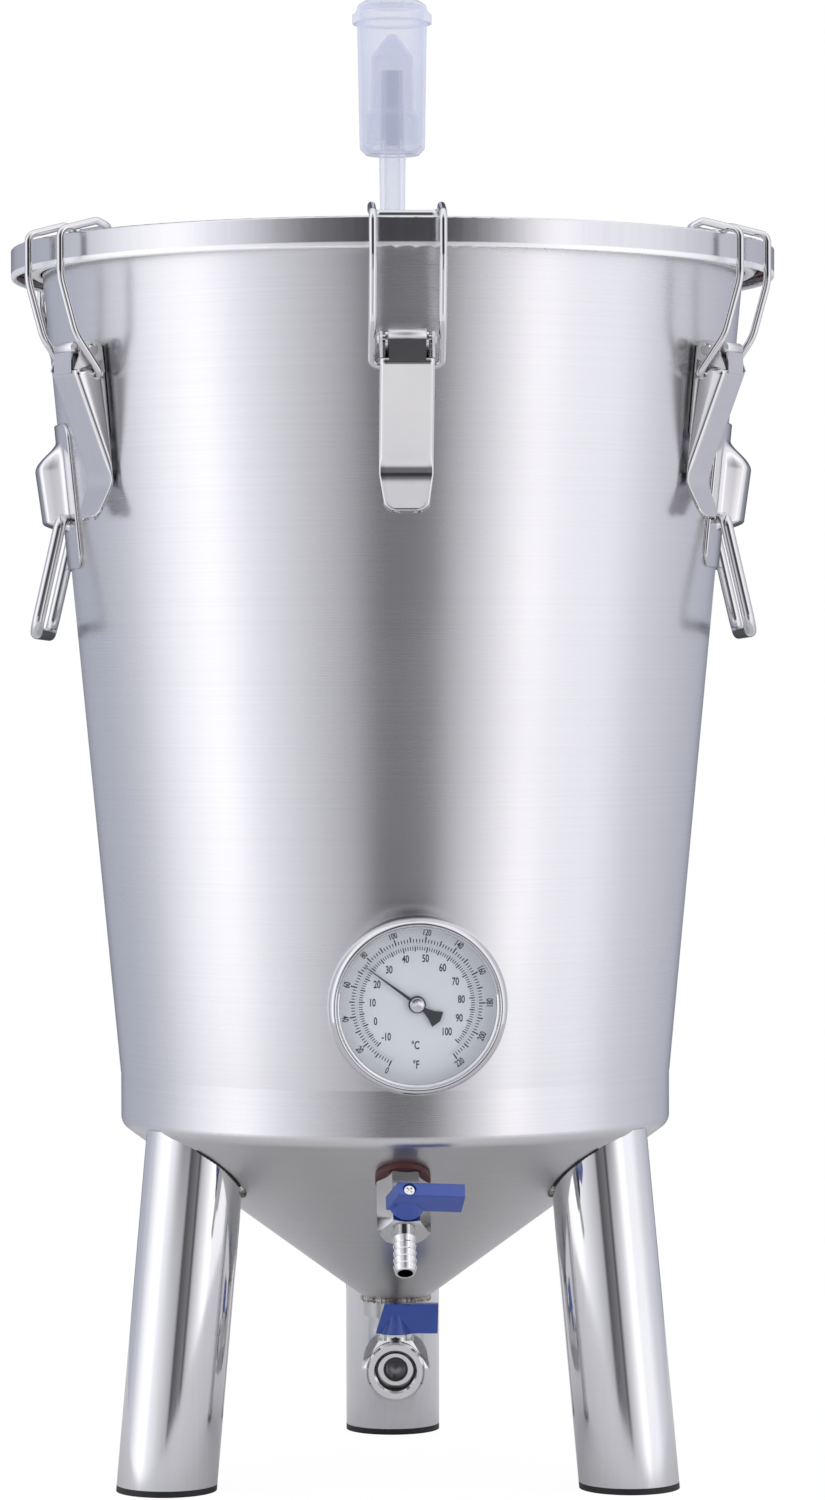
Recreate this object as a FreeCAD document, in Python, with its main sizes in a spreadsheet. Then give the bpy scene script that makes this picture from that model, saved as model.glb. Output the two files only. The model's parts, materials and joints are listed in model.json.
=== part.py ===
import FreeCAD, Part
import math
import os
import re

import Sketcher
from FreeCAD import Placement, Rotation, Vector

# Conical fermenter: a tapered steel tank on three splayed tube legs, a lid held by six bail
# latches, a dial thermometer, a racking valve through the cone and a drain valve under it.
# Millimetres.  The origin is on the floor under the tank's axis, +Z is up and -Y is the front.

SIZES = {
    # tank
    "sheet": 1.0,
    "foot_radius": 134.5,
    "foot_height": 196.0,
    "mouth_radius": 171.0,
    "mouth_height": 582.0,
    "curl_radius": 4.0,
    "curl_height": 588.0,
    "bead_gap": 0.63,
    "crease_height": 171.0,
    "crease_round": 7.0,
    "collar_radius": 134.3,
    "outlet_radius": 14.5,
    "outlet_height": 83.3,
    "elbow_radius": 13.8,
    "elbow_band": 15.9,
    "elbow_bore": 9.6,
    # legs
    "leg_radius": 24.0,
    "leg_wall": 1.5,
    "leg_top_spread": 110.6,
    "leg_foot_spread": 127.9,
    "leg_yaw": 1.0,
    "cap_height": 3.0,
    "plug_depth": 16.0,
    # lid
    "lid_radius": 186.5,
    "lid_top": 596.5,
    "skirt_height": 14.5,
    "hem_radius": 1.3,
    "lid_hole": 10.5,
    "gasket_inner": 170.0,
    "gasket_outer": 184.8,
    "stem_bore": 6.55,
    # latches
    "latch_yaw": 2.3,
    "latch_sheet": 1.2,
    "lever_width": 25.0,
    "pivot_out": 174.0,
    "pivot_height": 542.0,
    "hook_out": 171.0,
    "hook_height": 530.0,
    "pin_radius": 2.0,
    "wire_radius": 1.8,
    "wire_spread": 15.9,
    "bail_front": 192.8,
    "web_low_out": 163.3,
    "web_low_height": 481.0,
    "tab_end_out": 170.6,
    "tab_end_height": 464.0,
    "neck_width": 17.0,
    "roll_radius": 2.7,
    "roll_out": 181.0,
    "roll_height": 543.0,
    "base_low": 503.0,
    "base_high": 544.5,
    "base_half_width": 9.9,
    "ear_radius": 4.1,
    # carrying handles
    "bracket_half_width": 53.7,
    "bracket_low": 440.7,
    "bracket_high": 510.6,
    "bracket_sheet": 1.5,
    "pocket_half_width": 42.5,
    "pocket_low": 458.5,
    "pocket_high": 503.0,
    "pocket_depth": 11.5,
    "grip_radius": 3.0,
    "grip_spread": 47.5,
    "grip_pivot_out": 159.6,
    "grip_pivot_height": 464.0,
    "grip_bar_out": 172.0,
    "grip_bar_height": 410.0,
    # thermometer
    "dial_azimuth": 4.0,
    "dial_height": 239.0,
    "bezel_radius": 41.5,
    "window_radius": 36.0,
    "case_radius": 38.6,
    "case_back": 7.5,
    "bezel_front": 26.4,
    "probe_radius": 3.2,
    "thermo_thread": 6.5,
    "pointer_reach": 29.6,
    # racking valve
    "racking_azimuth": 2.0,
    "racking_roll": 4.5,
    "racking_out": 111.3,
    "racking_height": 154.3,
    "racking_flats": 21.7,
    "racking_length": 30.8,
    "racking_thread": 9.5,
    "racking_bore": 3.6,
    "racking_ball": 6.5,
    "racking_axis": 22.1,
    "racking_gland": 7.0,
    "barb_radius": 4.7,
    "barb_length": 21.2,
    "barb_seat": 2.0,
    # drain valve
    "drain_height": 54.9,
    "drain_flats": 28.3,
    "drain_back": 24.0,
    "drain_front": 58.0,
    "drain_port": 9.35,
    "drain_bore": 5.9,
    "drain_ball": 9.0,
    "drain_axis": 39.0,
    "drain_gland": 7.6,
    "drain_ring": 14.0,
    "drain_ring_start": 50.0,
    # valve handles
    "tap_half_width": 3.6,
    "tap_height": 14.2,
    "tap_tail": 9.6,
    "tap_reach": 20.3,
    "racking_tap_reach": 25.3,
    "tap_hub": 8.4,
    "stem_radius": 3.0,
    "recess_radius": 3.15,
    "recess_depth": 2.6,
    "screw_radius": 2.75,
    # airlock
    "airlock_top_radius": 17.05,
    "airlock_low_radius": 15.95,
    "airlock_wall": 1.2,
    "airlock_bottom": 644.0,
    "airlock_mouth": 709.0,
    "airlock_stem_end": 580.0,
    "cap_top": 719.6,
    # fits
    "running_gap": 0.06,
}

LATCHES = 6

doc = FreeCAD.newDocument("conical_fermenter")
sheet = doc.addObject("Spreadsheet::Sheet", "Sizes")
for row, (alias, number) in enumerate(SIZES.items(), 1):
    sheet.set(f"A{row}", alias)
    sheet.set(f"B{row}", str(number))
    sheet.setAlias(f"B{row}", alias)
doc.recompute()

parts = []


def mm(alias):
    """The number that the sheet holds under this name."""
    return float(sheet.get(alias))


def bound(text):
    """A size written with the sheet's names, as an expression that reads the sheet."""
    return re.sub(r"\b([a-z]\w*)\b(?!\()", r"Sizes.\1", str(text))


def new_body(label):
    body = doc.addObject("PartDesign::Body", label)
    body.Label = label
    parts.append(body)
    return body


def origin_plane(body, role):
    return [item for item in body.Origin.OriginFeatures if item.Role == role][0]


def outline(body, role, corners, name):
    """A closed outline with straight sides; each corner is (across, up) in the sheet's names."""
    sketch = body.newObject("Sketcher::SketchObject", name)
    sketch.AttachmentSupport = (origin_plane(body, role), "")
    sketch.MapMode = "FlatFace"
    count = len(corners)
    turn = 2 * math.pi / count
    start = [Vector(60 + 50 * math.cos(turn * i), 60 + 50 * math.sin(turn * i), 0) for i in range(count)]
    for i in range(count):
        sketch.addGeometry(Part.LineSegment(start[i], start[(i + 1) % count]), False)
    for i in range(count):
        sketch.addConstraint(Sketcher.Constraint("Coincident", i, 2, (i + 1) % count, 1))
    for i, (across, up) in enumerate(corners):
        for kind, text, here in (("DistanceX", across, start[i].x), ("DistanceY", up, start[i].y)):
            number = sketch.addConstraint(Sketcher.Constraint(kind, -1, 1, i, 1, here))
            sketch.setExpression(f"Constraints[{number}]", bound(text))
    return sketch


def turned(body, corners, kind="Revolution", name="Turn"):
    """Turn an outline in the XZ plane right round the Z axis, to add or cut."""
    feature = body.newObject("PartDesign::" + kind, name)
    feature.Profile = outline(body, "XZ_Plane", corners, name + "Outline")
    feature.ReferenceAxis = (feature.Profile[0], ["V_Axis"])
    feature.Angle = 360
    doc.recompute()
    return feature


def padded(body, corners, width, role="XZ_Plane", name="Plate"):
    """Pad an outline both ways from its plane to a total width."""
    feature = body.newObject("PartDesign::Pad", name)
    feature.Profile = outline(body, role, corners, name + "Outline")
    feature.Midplane = True
    feature.setExpression("Length", bound(width))
    doc.recompute()
    return feature


def pocketed(body, corners, width, role="XZ_Plane", name="Slot"):
    """Cut an outline both ways from its plane to a total width."""
    feature = body.newObject("PartDesign::Pocket", name)
    feature.Profile = outline(body, role, corners, name + "Outline")
    feature.Midplane = True
    feature.setExpression("Length", bound(width))
    doc.recompute()
    return feature


def primitive(body, kind, name, place, **sizes):
    """An added or cut PartDesign primitive whose sizes are written in the sheet's names."""
    feature = body.newObject("PartDesign::" + kind, name)
    for size, text in sizes.items():
        feature.setExpression(size, bound(text))
    feature.Placement = place
    doc.recompute()
    return feature


def rounded(body, radius, chosen, name="Round"):
    """Fillet the edges of the body's tip that the test picks."""
    base = body.Tip
    names = [f"Edge{i}" for i, edge in enumerate(base.Shape.Edges, 1) if chosen(edge)]
    feature = body.newObject("PartDesign::Fillet", name)
    feature.Base = (base, names)
    feature.setExpression("Radius", bound(radius))
    doc.recompute()
    return feature


def ring_edge(radius, height):
    """A test for a full circle about Z of this radius at this height."""
    def test(edge):
        curve = edge.Curve
        if not isinstance(curve, Part.Circle):
            return False
        return abs(curve.Radius - radius) < 0.05 and abs(curve.Center.z - height) < 0.05
    return test


def shaped(label, shape, place=Placement()):
    """A sub-part whose shape is worked out here from the sheet's sizes."""
    feature = doc.addObject("Part::Feature", label)
    feature.Label = label
    feature.Shape = shape
    feature.Placement = place
    parts.append(feature)
    return feature


def azimuth(degrees):
    """A turn about the tank's axis that brings +X to this azimuth, counted from the front to +X."""
    return Placement(Vector(), Rotation(Vector(0, 0, 1), degrees - 90))


def along(axis, at=Vector()):
    """A placement that brings +Z along an axis."""
    return Placement(at, Rotation(Vector(0, 0, 1), axis))


def rod(points, bends, radius):
    """A round wire through the points, each inner corner bent to its own radius."""
    ends = [Vector(*point) for point in points]
    edges = []
    start = ends[0]
    for i in range(1, len(ends) - 1):
        back = (ends[i - 1] - ends[i]).normalize()
        ahead = (ends[i + 1] - ends[i]).normalize()
        half = (math.pi - back.getAngle(ahead)) / 2
        cut = bends[i - 1] * math.tan(half)
        leave = ends[i] + back * cut
        join = ends[i] + ahead * cut
        centre = ends[i] + (back + ahead).normalize() * (bends[i - 1] / math.cos(half))
        middle = centre + (ends[i] - centre).normalize() * bends[i - 1]
        if (leave - start).Length > 1e-3:
            edges.append(Part.LineSegment(start, leave).toShape())
        edges.append(Part.Arc(leave, middle, join).toShape())
        start = join
    edges.append(Part.LineSegment(start, ends[-1]).toShape())
    first = ends[1] - ends[0]
    disc = Part.Wire([Part.makeCircle(radius, ends[0], first)])
    return Part.Wire(edges).makePipeShell([disc], True, False)


def wall_radius(height):
    """Outer radius of the tapered wall at a height."""
    rise = (height - mm("foot_height")) / (mm("mouth_height") - mm("foot_height"))
    return mm("foot_radius") + rise * (mm("mouth_radius") - mm("foot_radius"))


WALL_RISE = mm("mouth_height") - mm("foot_height")
TAPER = math.degrees(math.atan2(mm("mouth_radius") - mm("foot_radius"), WALL_RISE))
CONE_RISE = (mm("crease_height") - mm("outlet_height")) / (mm("collar_radius") - mm("outlet_radius"))
CONE_SLOPE = math.degrees(math.atan(CONE_RISE))


# --- frames of the three fittings that pass through the tank: +Z leaves the tank ---

def fitting_frame(degrees, radius, height, tilt_down, roll=0.0):
    """Local X runs to the right, local Y forward and up, local Z out of the tank."""
    outward = Rotation(Vector(0, 0, 1), degrees)
    face_front = Rotation(Vector(1, 0, 0), 90 + tilt_down)
    at = outward.multVec(Vector(0, -radius, height))
    return Placement(at, outward * face_front * Rotation(Vector(0, 0, 1), roll))


dial_frame = fitting_frame(mm("dial_azimuth"), wall_radius(mm("dial_height")), mm("dial_height"), TAPER)
racking_frame = fitting_frame(mm("racking_azimuth"), mm("racking_out"), mm("racking_height"),
                              90 - CONE_SLOPE, -mm("racking_roll"))
drain_frame = Placement(Vector(0, 0, mm("drain_height")), Rotation(Vector(1, 0, 0), 90))


# --- tank ---

def tank_wall():
    """Rolled and seam-welded taper."""
    body = new_body("tank_wall")
    slope = "(mouth_radius - foot_radius) / (mouth_height - foot_height)"
    top = f"(foot_radius + {slope} * (curl_height - foot_height))"
    reach = mm("curl_radius") - mm("sheet") - mm("bead_gap")
    inner_rise = math.sqrt((mm("curl_radius") - mm("sheet")) ** 2 - reach ** 2)
    outer_rise = math.sqrt(mm("curl_radius") ** 2 - reach ** 2)
    turned(body, [
        ("foot_radius", "foot_height"),
        (top, "curl_height"),
        (f"{top} + bead_gap", f"curl_height + {inner_rise:.5f}"),
        (f"{top} + bead_gap", f"curl_height + {outer_rise:.5f}"),
        (f"{top} - sheet + 0.3", f"curl_height + {outer_rise / 2:.5f}"),
        (f"{top} - sheet", "curl_height"),
        ("foot_radius - sheet", "foot_height"),
    ])
    cut_frame = dial_frame * Placement(Vector(0, 0, -12), Rotation())
    primitive(body, "SubtractiveCylinder", "DialHole", cut_frame, Radius="thermo_thread + 0.3", Height="24")


def tank_rim():
    """Rolled bead round the mouth, starting from the wall's flared lip."""
    high = mm("curl_height")
    middle = wall_radius(high) - mm("sheet") + mm("curl_radius")
    bead = Part.makeTorus(middle, mm("curl_radius"), Vector(0, 0, high))
    bead = bead.cut(Part.makeTorus(middle, mm("curl_radius") - mm("sheet"), Vector(0, 0, high)))
    start = wall_radius(high) + mm("bead_gap")
    bead = bead.cut(Part.makeCylinder(start, 40, Vector(0, 0, high - 20)))
    shaped("tank_rim", bead.removeSplitter())


def tank_cone():
    """Pressed cone bottom with a short straight collar that the wall is welded to."""
    body = new_body("tank_cone")
    inner_crease = f"crease_height + sheet * {1 / math.cos(math.radians(CONE_SLOPE)) - CONE_RISE:.4f}"
    inner_outlet = f"outlet_height + sheet * {1 / math.cos(math.radians(CONE_SLOPE)) - CONE_RISE:.4f}"
    turned(body, [
        ("collar_radius", "foot_height"),
        ("collar_radius", "crease_height"),
        ("outlet_radius", "outlet_height"),
        ("outlet_radius - sheet", "outlet_height"),
        ("outlet_radius - sheet", inner_outlet),
        ("collar_radius - sheet", inner_crease),
        ("collar_radius - sheet", "foot_height"),
    ])
    rounded(body, "crease_round", ring_edge(mm("collar_radius"), mm("crease_height")), "Crease")
    inner_z = mm("crease_height") + mm("sheet") * (1 / math.cos(math.radians(CONE_SLOPE)) - CONE_RISE)
    inner_edge = ring_edge(mm("collar_radius") - mm("sheet"), inner_z)
    rounded(body, "crease_round - sheet", inner_edge, "InnerCrease")
    cut_frame = racking_frame * Placement(Vector(0, 0, -12), Rotation())
    primitive(body, "SubtractiveCylinder", "RackingHole", cut_frame,
              Radius="racking_thread + 0.2", Height="24")


def outlet_elbow():
    """Cast elbow with a thick band at each end, turning the outlet to the front."""
    bend = 15.0
    tube = mm("elbow_radius")
    bore = mm("elbow_bore")
    band = mm("elbow_band")
    low = mm("drain_height")
    front = mm("drain_back")

    def run(radius):
        path = [(0, 0, mm("outlet_height")), (0, 0, low), (0, -front, low)]
        return rod(path, [bend], radius)

    solid = run(tube)
    solid = solid.fuse(Part.makeCylinder(band, 8, Vector(0, 0, mm("outlet_height") - 8)))
    solid = solid.fuse(Part.makeCylinder(band, 7, Vector(0, -front, low), Vector(0, 1, 0)))
    inner = rod([(0, 0, mm("outlet_height") + 5), (0, 0, low), (0, -front - 5, low)], [bend], bore)
    socket = Part.makeCylinder(10.5, 10, Vector(0, -front, low), Vector(0, 1, 0))
    shaped("outlet_elbow", solid.cut(inner).cut(socket).removeSplitter())


# --- legs ---

LEGS = {"left": -60.0, "right": 60.0, "rear": 180.0}


def leg_frame(degrees):
    """Local Z runs up the leg from the middle of its foot."""
    spread = mm("leg_foot_spread") - mm("leg_top_spread")
    lean = math.degrees(math.atan2(spread, mm("crease_height")))
    foot = Placement(Vector(mm("leg_foot_spread"), 0, 0), Rotation(Vector(0, 1, 0), -lean))
    return azimuth(degrees + mm("leg_yaw")) * foot


def legs():
    """Polished tubes, coped to the cone, each with a black plug in its end."""
    reach = 220.0
    slab = Part.makeBox(500, 500, 500, Vector(-250, -250, mm("cap_height")))
    roof = Part.makeCylinder(250, 100, Vector(0, 0, mm("crease_height") + 1.0))
    rim = mm("collar_radius")
    crease = mm("crease_height")
    solid_cone = Part.makeCone(0.01, rim, crease - (mm("outlet_height") - mm("outlet_radius") * CONE_RISE),
                               Vector(0, 0, mm("outlet_height") - mm("outlet_radius") * CONE_RISE))
    solid_cone = solid_cone.fuse(Part.makeCylinder(rim, 40, Vector(0, 0, crease))).removeSplitter()
    edge = [item for item in solid_cone.Edges if ring_edge(rim, crease)(item)]
    envelope = solid_cone.makeFillet(mm("crease_round"), edge)
    for side, degrees in LEGS.items():
        place = leg_frame(degrees)
        lower = Vector(0, 0, -20)
        outside = Part.makeCylinder(mm("leg_radius"), reach, lower)
        inside = Part.makeCylinder(mm("leg_radius") - mm("leg_wall"), reach, lower)
        tube = outside.cut(inside)
        tube.Placement = place
        tube = tube.common(slab).cut(roof).cut(envelope)
        shaped("leg_" + side, max(tube.Solids, key=lambda item: item.Volume))
        cover = Part.makeCylinder(mm("leg_radius"), 40, lower)
        plug = Part.makeCylinder(mm("leg_radius") - mm("leg_wall") - mm("running_gap"), 60, lower)
        cover.Placement = place
        plug.Placement = place
        cover = cover.common(Part.makeBox(500, 500, mm("cap_height"), Vector(-250, -250, 0)))
        plug = plug.common(Part.makeBox(500, 500, mm("plug_depth"), Vector(-250, -250, mm("cap_height"))))
        shaped("foot_cap_" + side, cover.fuse(plug).removeSplitter())


# --- lid ---

def lid():
    """Spun flat lid with a deep skirt, hemmed at its lower edge."""
    body = new_body("lid")
    turned(body, [
        ("lid_hole", "lid_top"),
        ("lid_radius", "lid_top"),
        ("lid_radius", "lid_top - skirt_height + hem_radius"),
        ("lid_radius - sheet", "lid_top - skirt_height + hem_radius"),
        ("lid_radius - sheet", "lid_top - sheet"),
        ("lid_hole", "lid_top - sheet"),
    ])
    rounded(body, "sheet", ring_edge(mm("lid_radius"), mm("lid_top")), "Shoulder")
    at = Placement(Vector(0, 0, mm("lid_top") - mm("skirt_height") + mm("hem_radius")), Rotation())
    primitive(body, "AdditiveTorus", "Hem", at, Radius1="lid_radius - hem_radius", Radius2="hem_radius")


def lid_gasket():
    """Silicone ring between the curled mouth and the lid."""
    body = new_body("lid_gasket")
    turned(body, [
        ("gasket_inner", "lid_top - sheet"),
        ("gasket_outer", "lid_top - sheet"),
        ("gasket_outer", "curl_height - 1"),
        ("gasket_outer - 4", "curl_height - 1"),
        ("gasket_outer - 4", "curl_height + curl_radius"),
        ("gasket_inner", "curl_height + curl_radius"),
    ])


def airlock_grommet():
    """Soft bung ring that grips the lid and the airlock's stem."""
    body = new_body("airlock_grommet")
    turned(body, [
        ("stem_bore", "lid_top + 2.2"),
        ("lid_hole + 1.8", "lid_top + 2.2"),
        ("lid_hole + 2.4", "lid_top"),
        ("lid_hole", "lid_top"),
        ("lid_hole", "lid_top - sheet"),
        ("lid_hole + 2.2", "lid_top - sheet"),
        ("lid_hole - 0.5", "lid_top - 10"),
        ("stem_bore", "lid_top - 10"),
    ])


# --- airlock: three loose pieces of clear plastic ---

def airlock_body():
    """Cup on a tapered stem, with the stem's bore carried up inside as a standpipe."""
    body = new_body("airlock_body")
    turned(body, [
        ("3.9", "airlock_stem_end"),
        ("5.6", "airlock_stem_end"),
        ("6.5", "airlock_bottom"),
        ("airlock_low_radius - 3", "airlock_bottom"),
        ("airlock_low_radius", "airlock_bottom + 3"),
        ("airlock_top_radius", "airlock_mouth"),
        ("airlock_top_radius - airlock_wall", "airlock_mouth"),
        ("airlock_low_radius - airlock_wall", "airlock_bottom + 4"),
        ("airlock_low_radius - airlock_wall - 2.6", "airlock_bottom + 1.4"),
        ("6", "airlock_bottom + 1.4"),
        ("5.2", "airlock_mouth - 24"),
        ("3.9", "airlock_mouth - 24"),
    ])
    rounded(body, "2.5", ring_edge(mm("airlock_low_radius"), mm("airlock_bottom") + 3), "Shoulder")


def airlock_float():
    """Bell that rises over the standpipe as gas passes."""
    body = new_body("airlock_float")
    turned(body, [
        ("13", "airlock_bottom + 6"),
        ("13", "airlock_bottom + 19"),
        ("10.5", "airlock_bottom + 22"),
        ("10.3", "airlock_mouth - 17"),
        ("2", "airlock_mouth - 6"),
        ("0", "airlock_mouth - 6"),
        ("0", "airlock_mouth - 7.2"),
        ("1.4", "airlock_mouth - 7.2"),
        ("9.3", "airlock_mouth - 17.5"),
        ("9.5", "airlock_bottom + 21.6"),
        ("12", "airlock_bottom + 18.6"),
        ("12", "airlock_bottom + 6"),
    ])


def airlock_cap():
    """Push-on cap with a domed top, a grip lip and a ring of breather holes."""
    body = new_body("airlock_cap")
    turned(body, [
        ("0", "cap_top"),
        ("13.5", "cap_top - 0.4"),
        ("16.6", "cap_top - 2.2"),
        ("17.7", "cap_top - 6"),
        ("19.4", "cap_top - 7"),
        ("19.4", "cap_top - 11.4"),
        ("airlock_top_radius + 0.35", "cap_top - 11.4"),
        ("airlock_top_radius + 0.35", "airlock_mouth + 0.4"),
        ("airlock_top_radius - 1.2", "airlock_mouth + 0.4"),
        ("airlock_top_radius - 1.2", "cap_top - 3"),
        ("0", "cap_top - 1.4"),
    ])
    breather = primitive(body, "SubtractiveCylinder", "Breather",
                         Placement(Vector(10, 0, mm("cap_top") - 6), Rotation()), Radius="0.9", Height="8")
    ring = body.newObject("PartDesign::PolarPattern", "Breathers")
    ring.Originals = [breather]
    axis = [item for item in body.Origin.OriginFeatures if item.Role == "Z_Axis"][0]
    ring.Axis = (axis, [""])
    ring.Angle = 360
    ring.Occurrences = 6
    body.Tip = ring
    doc.recompute()


# --- latches ---

def latch_angle(number):
    return mm("latch_yaw") + 360 / LATCHES * number


def latch_bases():
    """Spot-welded brackets whose two ears carry the lever pins."""
    low = mm("base_low")
    high = mm("base_high")
    ear_low = low + 15
    gap = 0.05
    thick = mm("latch_sheet")
    half = mm("base_half_width")
    plate = Part.makePolygon([
        Vector(wall_radius(low) + gap, -half, low),
        Vector(wall_radius(high) + gap, -half, high),
        Vector(wall_radius(high) + gap + thick, -half, high),
        Vector(wall_radius(low) + gap + thick, -half, low),
        Vector(wall_radius(low) + gap, -half, low),
    ])
    plate = Part.Face(plate).extrude(Vector(0, 2 * half, 0))
    pivot = Vector(mm("pivot_out"), 0, mm("pivot_height"))
    ear_radius = mm("ear_radius")

    def ear(side):
        foot = Part.makePolygon([
            Vector(wall_radius(ear_low) + gap, 0, ear_low),
            Vector(wall_radius(high) + gap, 0, high),
            Vector(pivot.x, 0, pivot.z + ear_radius),
            Vector(pivot.x + 3.4, 0, pivot.z - 2.3),
            Vector(wall_radius(ear_low) + gap + 2.5, 0, ear_low),
            Vector(wall_radius(ear_low) + gap, 0, ear_low),
        ])
        sheet_ear = Part.Face(foot).extrude(Vector(0, thick, 0))
        sheet_ear = sheet_ear.fuse(Part.makeCylinder(ear_radius, thick, pivot, Vector(0, 1, 0)))
        sheet_ear.translate(Vector(0, -half if side < 0 else half - thick, 0))
        return sheet_ear

    base = plate.fuse([ear(-1), ear(1)])
    base = base.cut(Part.makeCylinder(mm("pin_radius"), 60, pivot - Vector(0, 30, 0), Vector(0, 1, 0)))
    base = base.removeSplitter()
    shaped("latch_bases", Part.makeCompound([turned_copy(base, n) for n in range(LATCHES)]))


def turned_copy(shape, number):
    """The shape turned to one latch's place round the tank."""
    return shape.transformed((azimuth(latch_angle(number))).toMatrix())


def latch_pins():
    """Lever pins, peened over outside the lever's cheeks."""
    reach = mm("lever_width") / 2 + 0.3
    head = 0.8
    axis = Vector(0, 1, 0)
    middle = Vector(mm("pivot_out"), 0, mm("pivot_height"))
    pin = Part.makeCylinder(mm("pin_radius"), 2 * reach, middle - axis * reach, axis)
    for side in (-1, 1):
        pin = pin.fuse(Part.makeCone(2.9, 2.1, head, middle + axis * (side * reach), axis * side))
    pin = pin.removeSplitter()
    shaped("latch_pins", Part.makeCompound([turned_copy(pin, n) for n in range(LATCHES)]))


def latch_lever(number):
    """Pressed channel: a web with two cheeks, a kicked-out thumb tab and a rolled top bar."""
    body = new_body(f"latch_lever_{number + 1}")
    padded(body, [
        ("pivot_out - 5", "pivot_height + 1.5"),
        ("pivot_out - 2.6", "pivot_height + 4.6"),
        ("pivot_out + 2.6", "pivot_height + 4.6"),
        ("pivot_out + 5.4", "pivot_height + 1"),
        ("pivot_out + 9.4", "pivot_height - 10"),
        ("web_low_out", "web_low_height + 0.2"),
        ("web_low_out - 0.6", "web_low_height + 1"),
        ("hook_out - 3.4", "hook_height + 1"),
    ], "lever_width", name="Cheeks")
    pocketed(body, [
        ("150", "470"),
        ("150", "560"),
        ("195", "560"),
        ("195", "470"),
    ], "lever_width - 2 * latch_sheet", name="Channel")
    padded(body, [
        ("pivot_out + 9.4", "pivot_height - 8.6"),
        ("web_low_out", "web_low_height"),
        ("tab_end_out", "tab_end_height"),
        ("tab_end_out - 1.1", "tab_end_height - 0.5"),
        ("web_low_out - latch_sheet", "web_low_height - 0.2"),
        ("web_low_out - latch_sheet", "web_low_height + 0.6"),
        ("pivot_out + 8.2", "pivot_height - 9"),
    ], "lever_width", name="Web")
    padded(body, [
        ("pivot_out + 9.4", "pivot_height - 10"),
        ("pivot_out + 9.7", "pivot_height + 1"),
        ("pivot_out + 8.5", "pivot_height + 1"),
        ("pivot_out + 8.2", "pivot_height - 10"),
    ], "neck_width", name="Neck")
    across = Vector(0, -1, 0)
    roll_at = Vector(mm("roll_out"), mm("neck_width") / 2, mm("roll_height"))
    primitive(body, "AdditiveCylinder", "Roll", along(across, roll_at),
              Radius="roll_radius", Height="neck_width")
    eye = along(across, Vector(mm("roll_out"), 20, mm("roll_height")))
    primitive(body, "SubtractiveCylinder", "RollEye", eye, Radius="roll_radius - latch_sheet", Height="40")
    pivot = along(across, Vector(mm("pivot_out"), 20, mm("pivot_height")))
    primitive(body, "SubtractiveCylinder", "PivotHole", pivot, Radius="pin_radius + running_gap", Height="40")
    hook = along(across, Vector(mm("hook_out"), 20, mm("hook_height")))
    primitive(body, "SubtractiveCylinder", "HookHole", hook, Radius="wire_radius + running_gap", Height="40")
    for side in (-1, 1):
        taper(body, side)
    body.Placement = azimuth(latch_angle(number))
    body.setExpression("Placement.Rotation.Angle", bound(f"latch_yaw + {360 / LATCHES * number - 90}"))


def taper(body, side):
    """Narrow the thumb tab on one side, down to its rounded corner."""
    name = "TaperLeft" if side < 0 else "TaperRight"
    edge = f"{side} * lever_width / 2"
    pocket = body.newObject("PartDesign::Pocket", name)
    pocket.Profile = outline(body, "YZ_Plane", [
        (edge, "web_low_height"),
        (f"{edge} - {side} * 2.0", "tab_end_height + 3.5"),
        (f"{edge} - {side} * 2.9", "tab_end_height + 1.2"),
        (f"{edge} - {side} * 5.0", "tab_end_height + 0.2"),
        (f"{edge} - {side} * 8.5", "tab_end_height - 0.1"),
        (f"{edge} - {side} * 8.5", "tab_end_height - 9"),
        (f"{edge} + {side} * 3", "tab_end_height - 9"),
        (f"{edge} + {side} * 3", "web_low_height"),
    ], name + "Outline")
    pocket.Midplane = True
    pocket.Length = 500
    doc.recompute()


def latch_bail(number):
    """Wire bail: both ends turned into the lever, the cross bar hooked over the lid."""
    out = mm("bail_front")
    top = mm("lid_top")
    side = mm("wire_spread")
    inside = mm("lever_width") / 2 - mm("latch_sheet") - 0.4
    hook = (mm("hook_out"), mm("hook_height"))
    half = [
        (hook[0], inside, hook[1]),
        (hook[0], side, hook[1]),
        (hook[0] + 14.0, side, hook[1] + 19.0),
        (out, side, hook[1] + 45.0),
        (out, side, top + 0.6),
        (hook[0] + 2.6, side, top + 5.8),
        (hook[0] - 5.0, side, top + 2.6),
    ]
    other = [(x, -y, z) for x, y, z in reversed(half)]
    bends = [3.2, 22.0, 24.0, 4.2, 3.6, 4.2]
    shape = rod(half + other, bends + bends[::-1], mm("wire_radius"))
    shaped(f"latch_bail_{number + 1}", shape, azimuth(latch_angle(number)))


# --- carrying handles ---

def cone_shell(inner, outer, low, high):
    """Ring between two tapers that follow the tank's wall, this far off it."""
    def solid(offset):
        return Part.makeCone(wall_radius(low) + offset, wall_radius(high) + offset, high - low,
                             Vector(0, 0, low))
    return solid(outer).cut(solid(inner))


def block(half_width, low, high):
    return Part.makeBox(100, 2 * half_width, high - low, Vector(110, -half_width, low))


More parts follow.
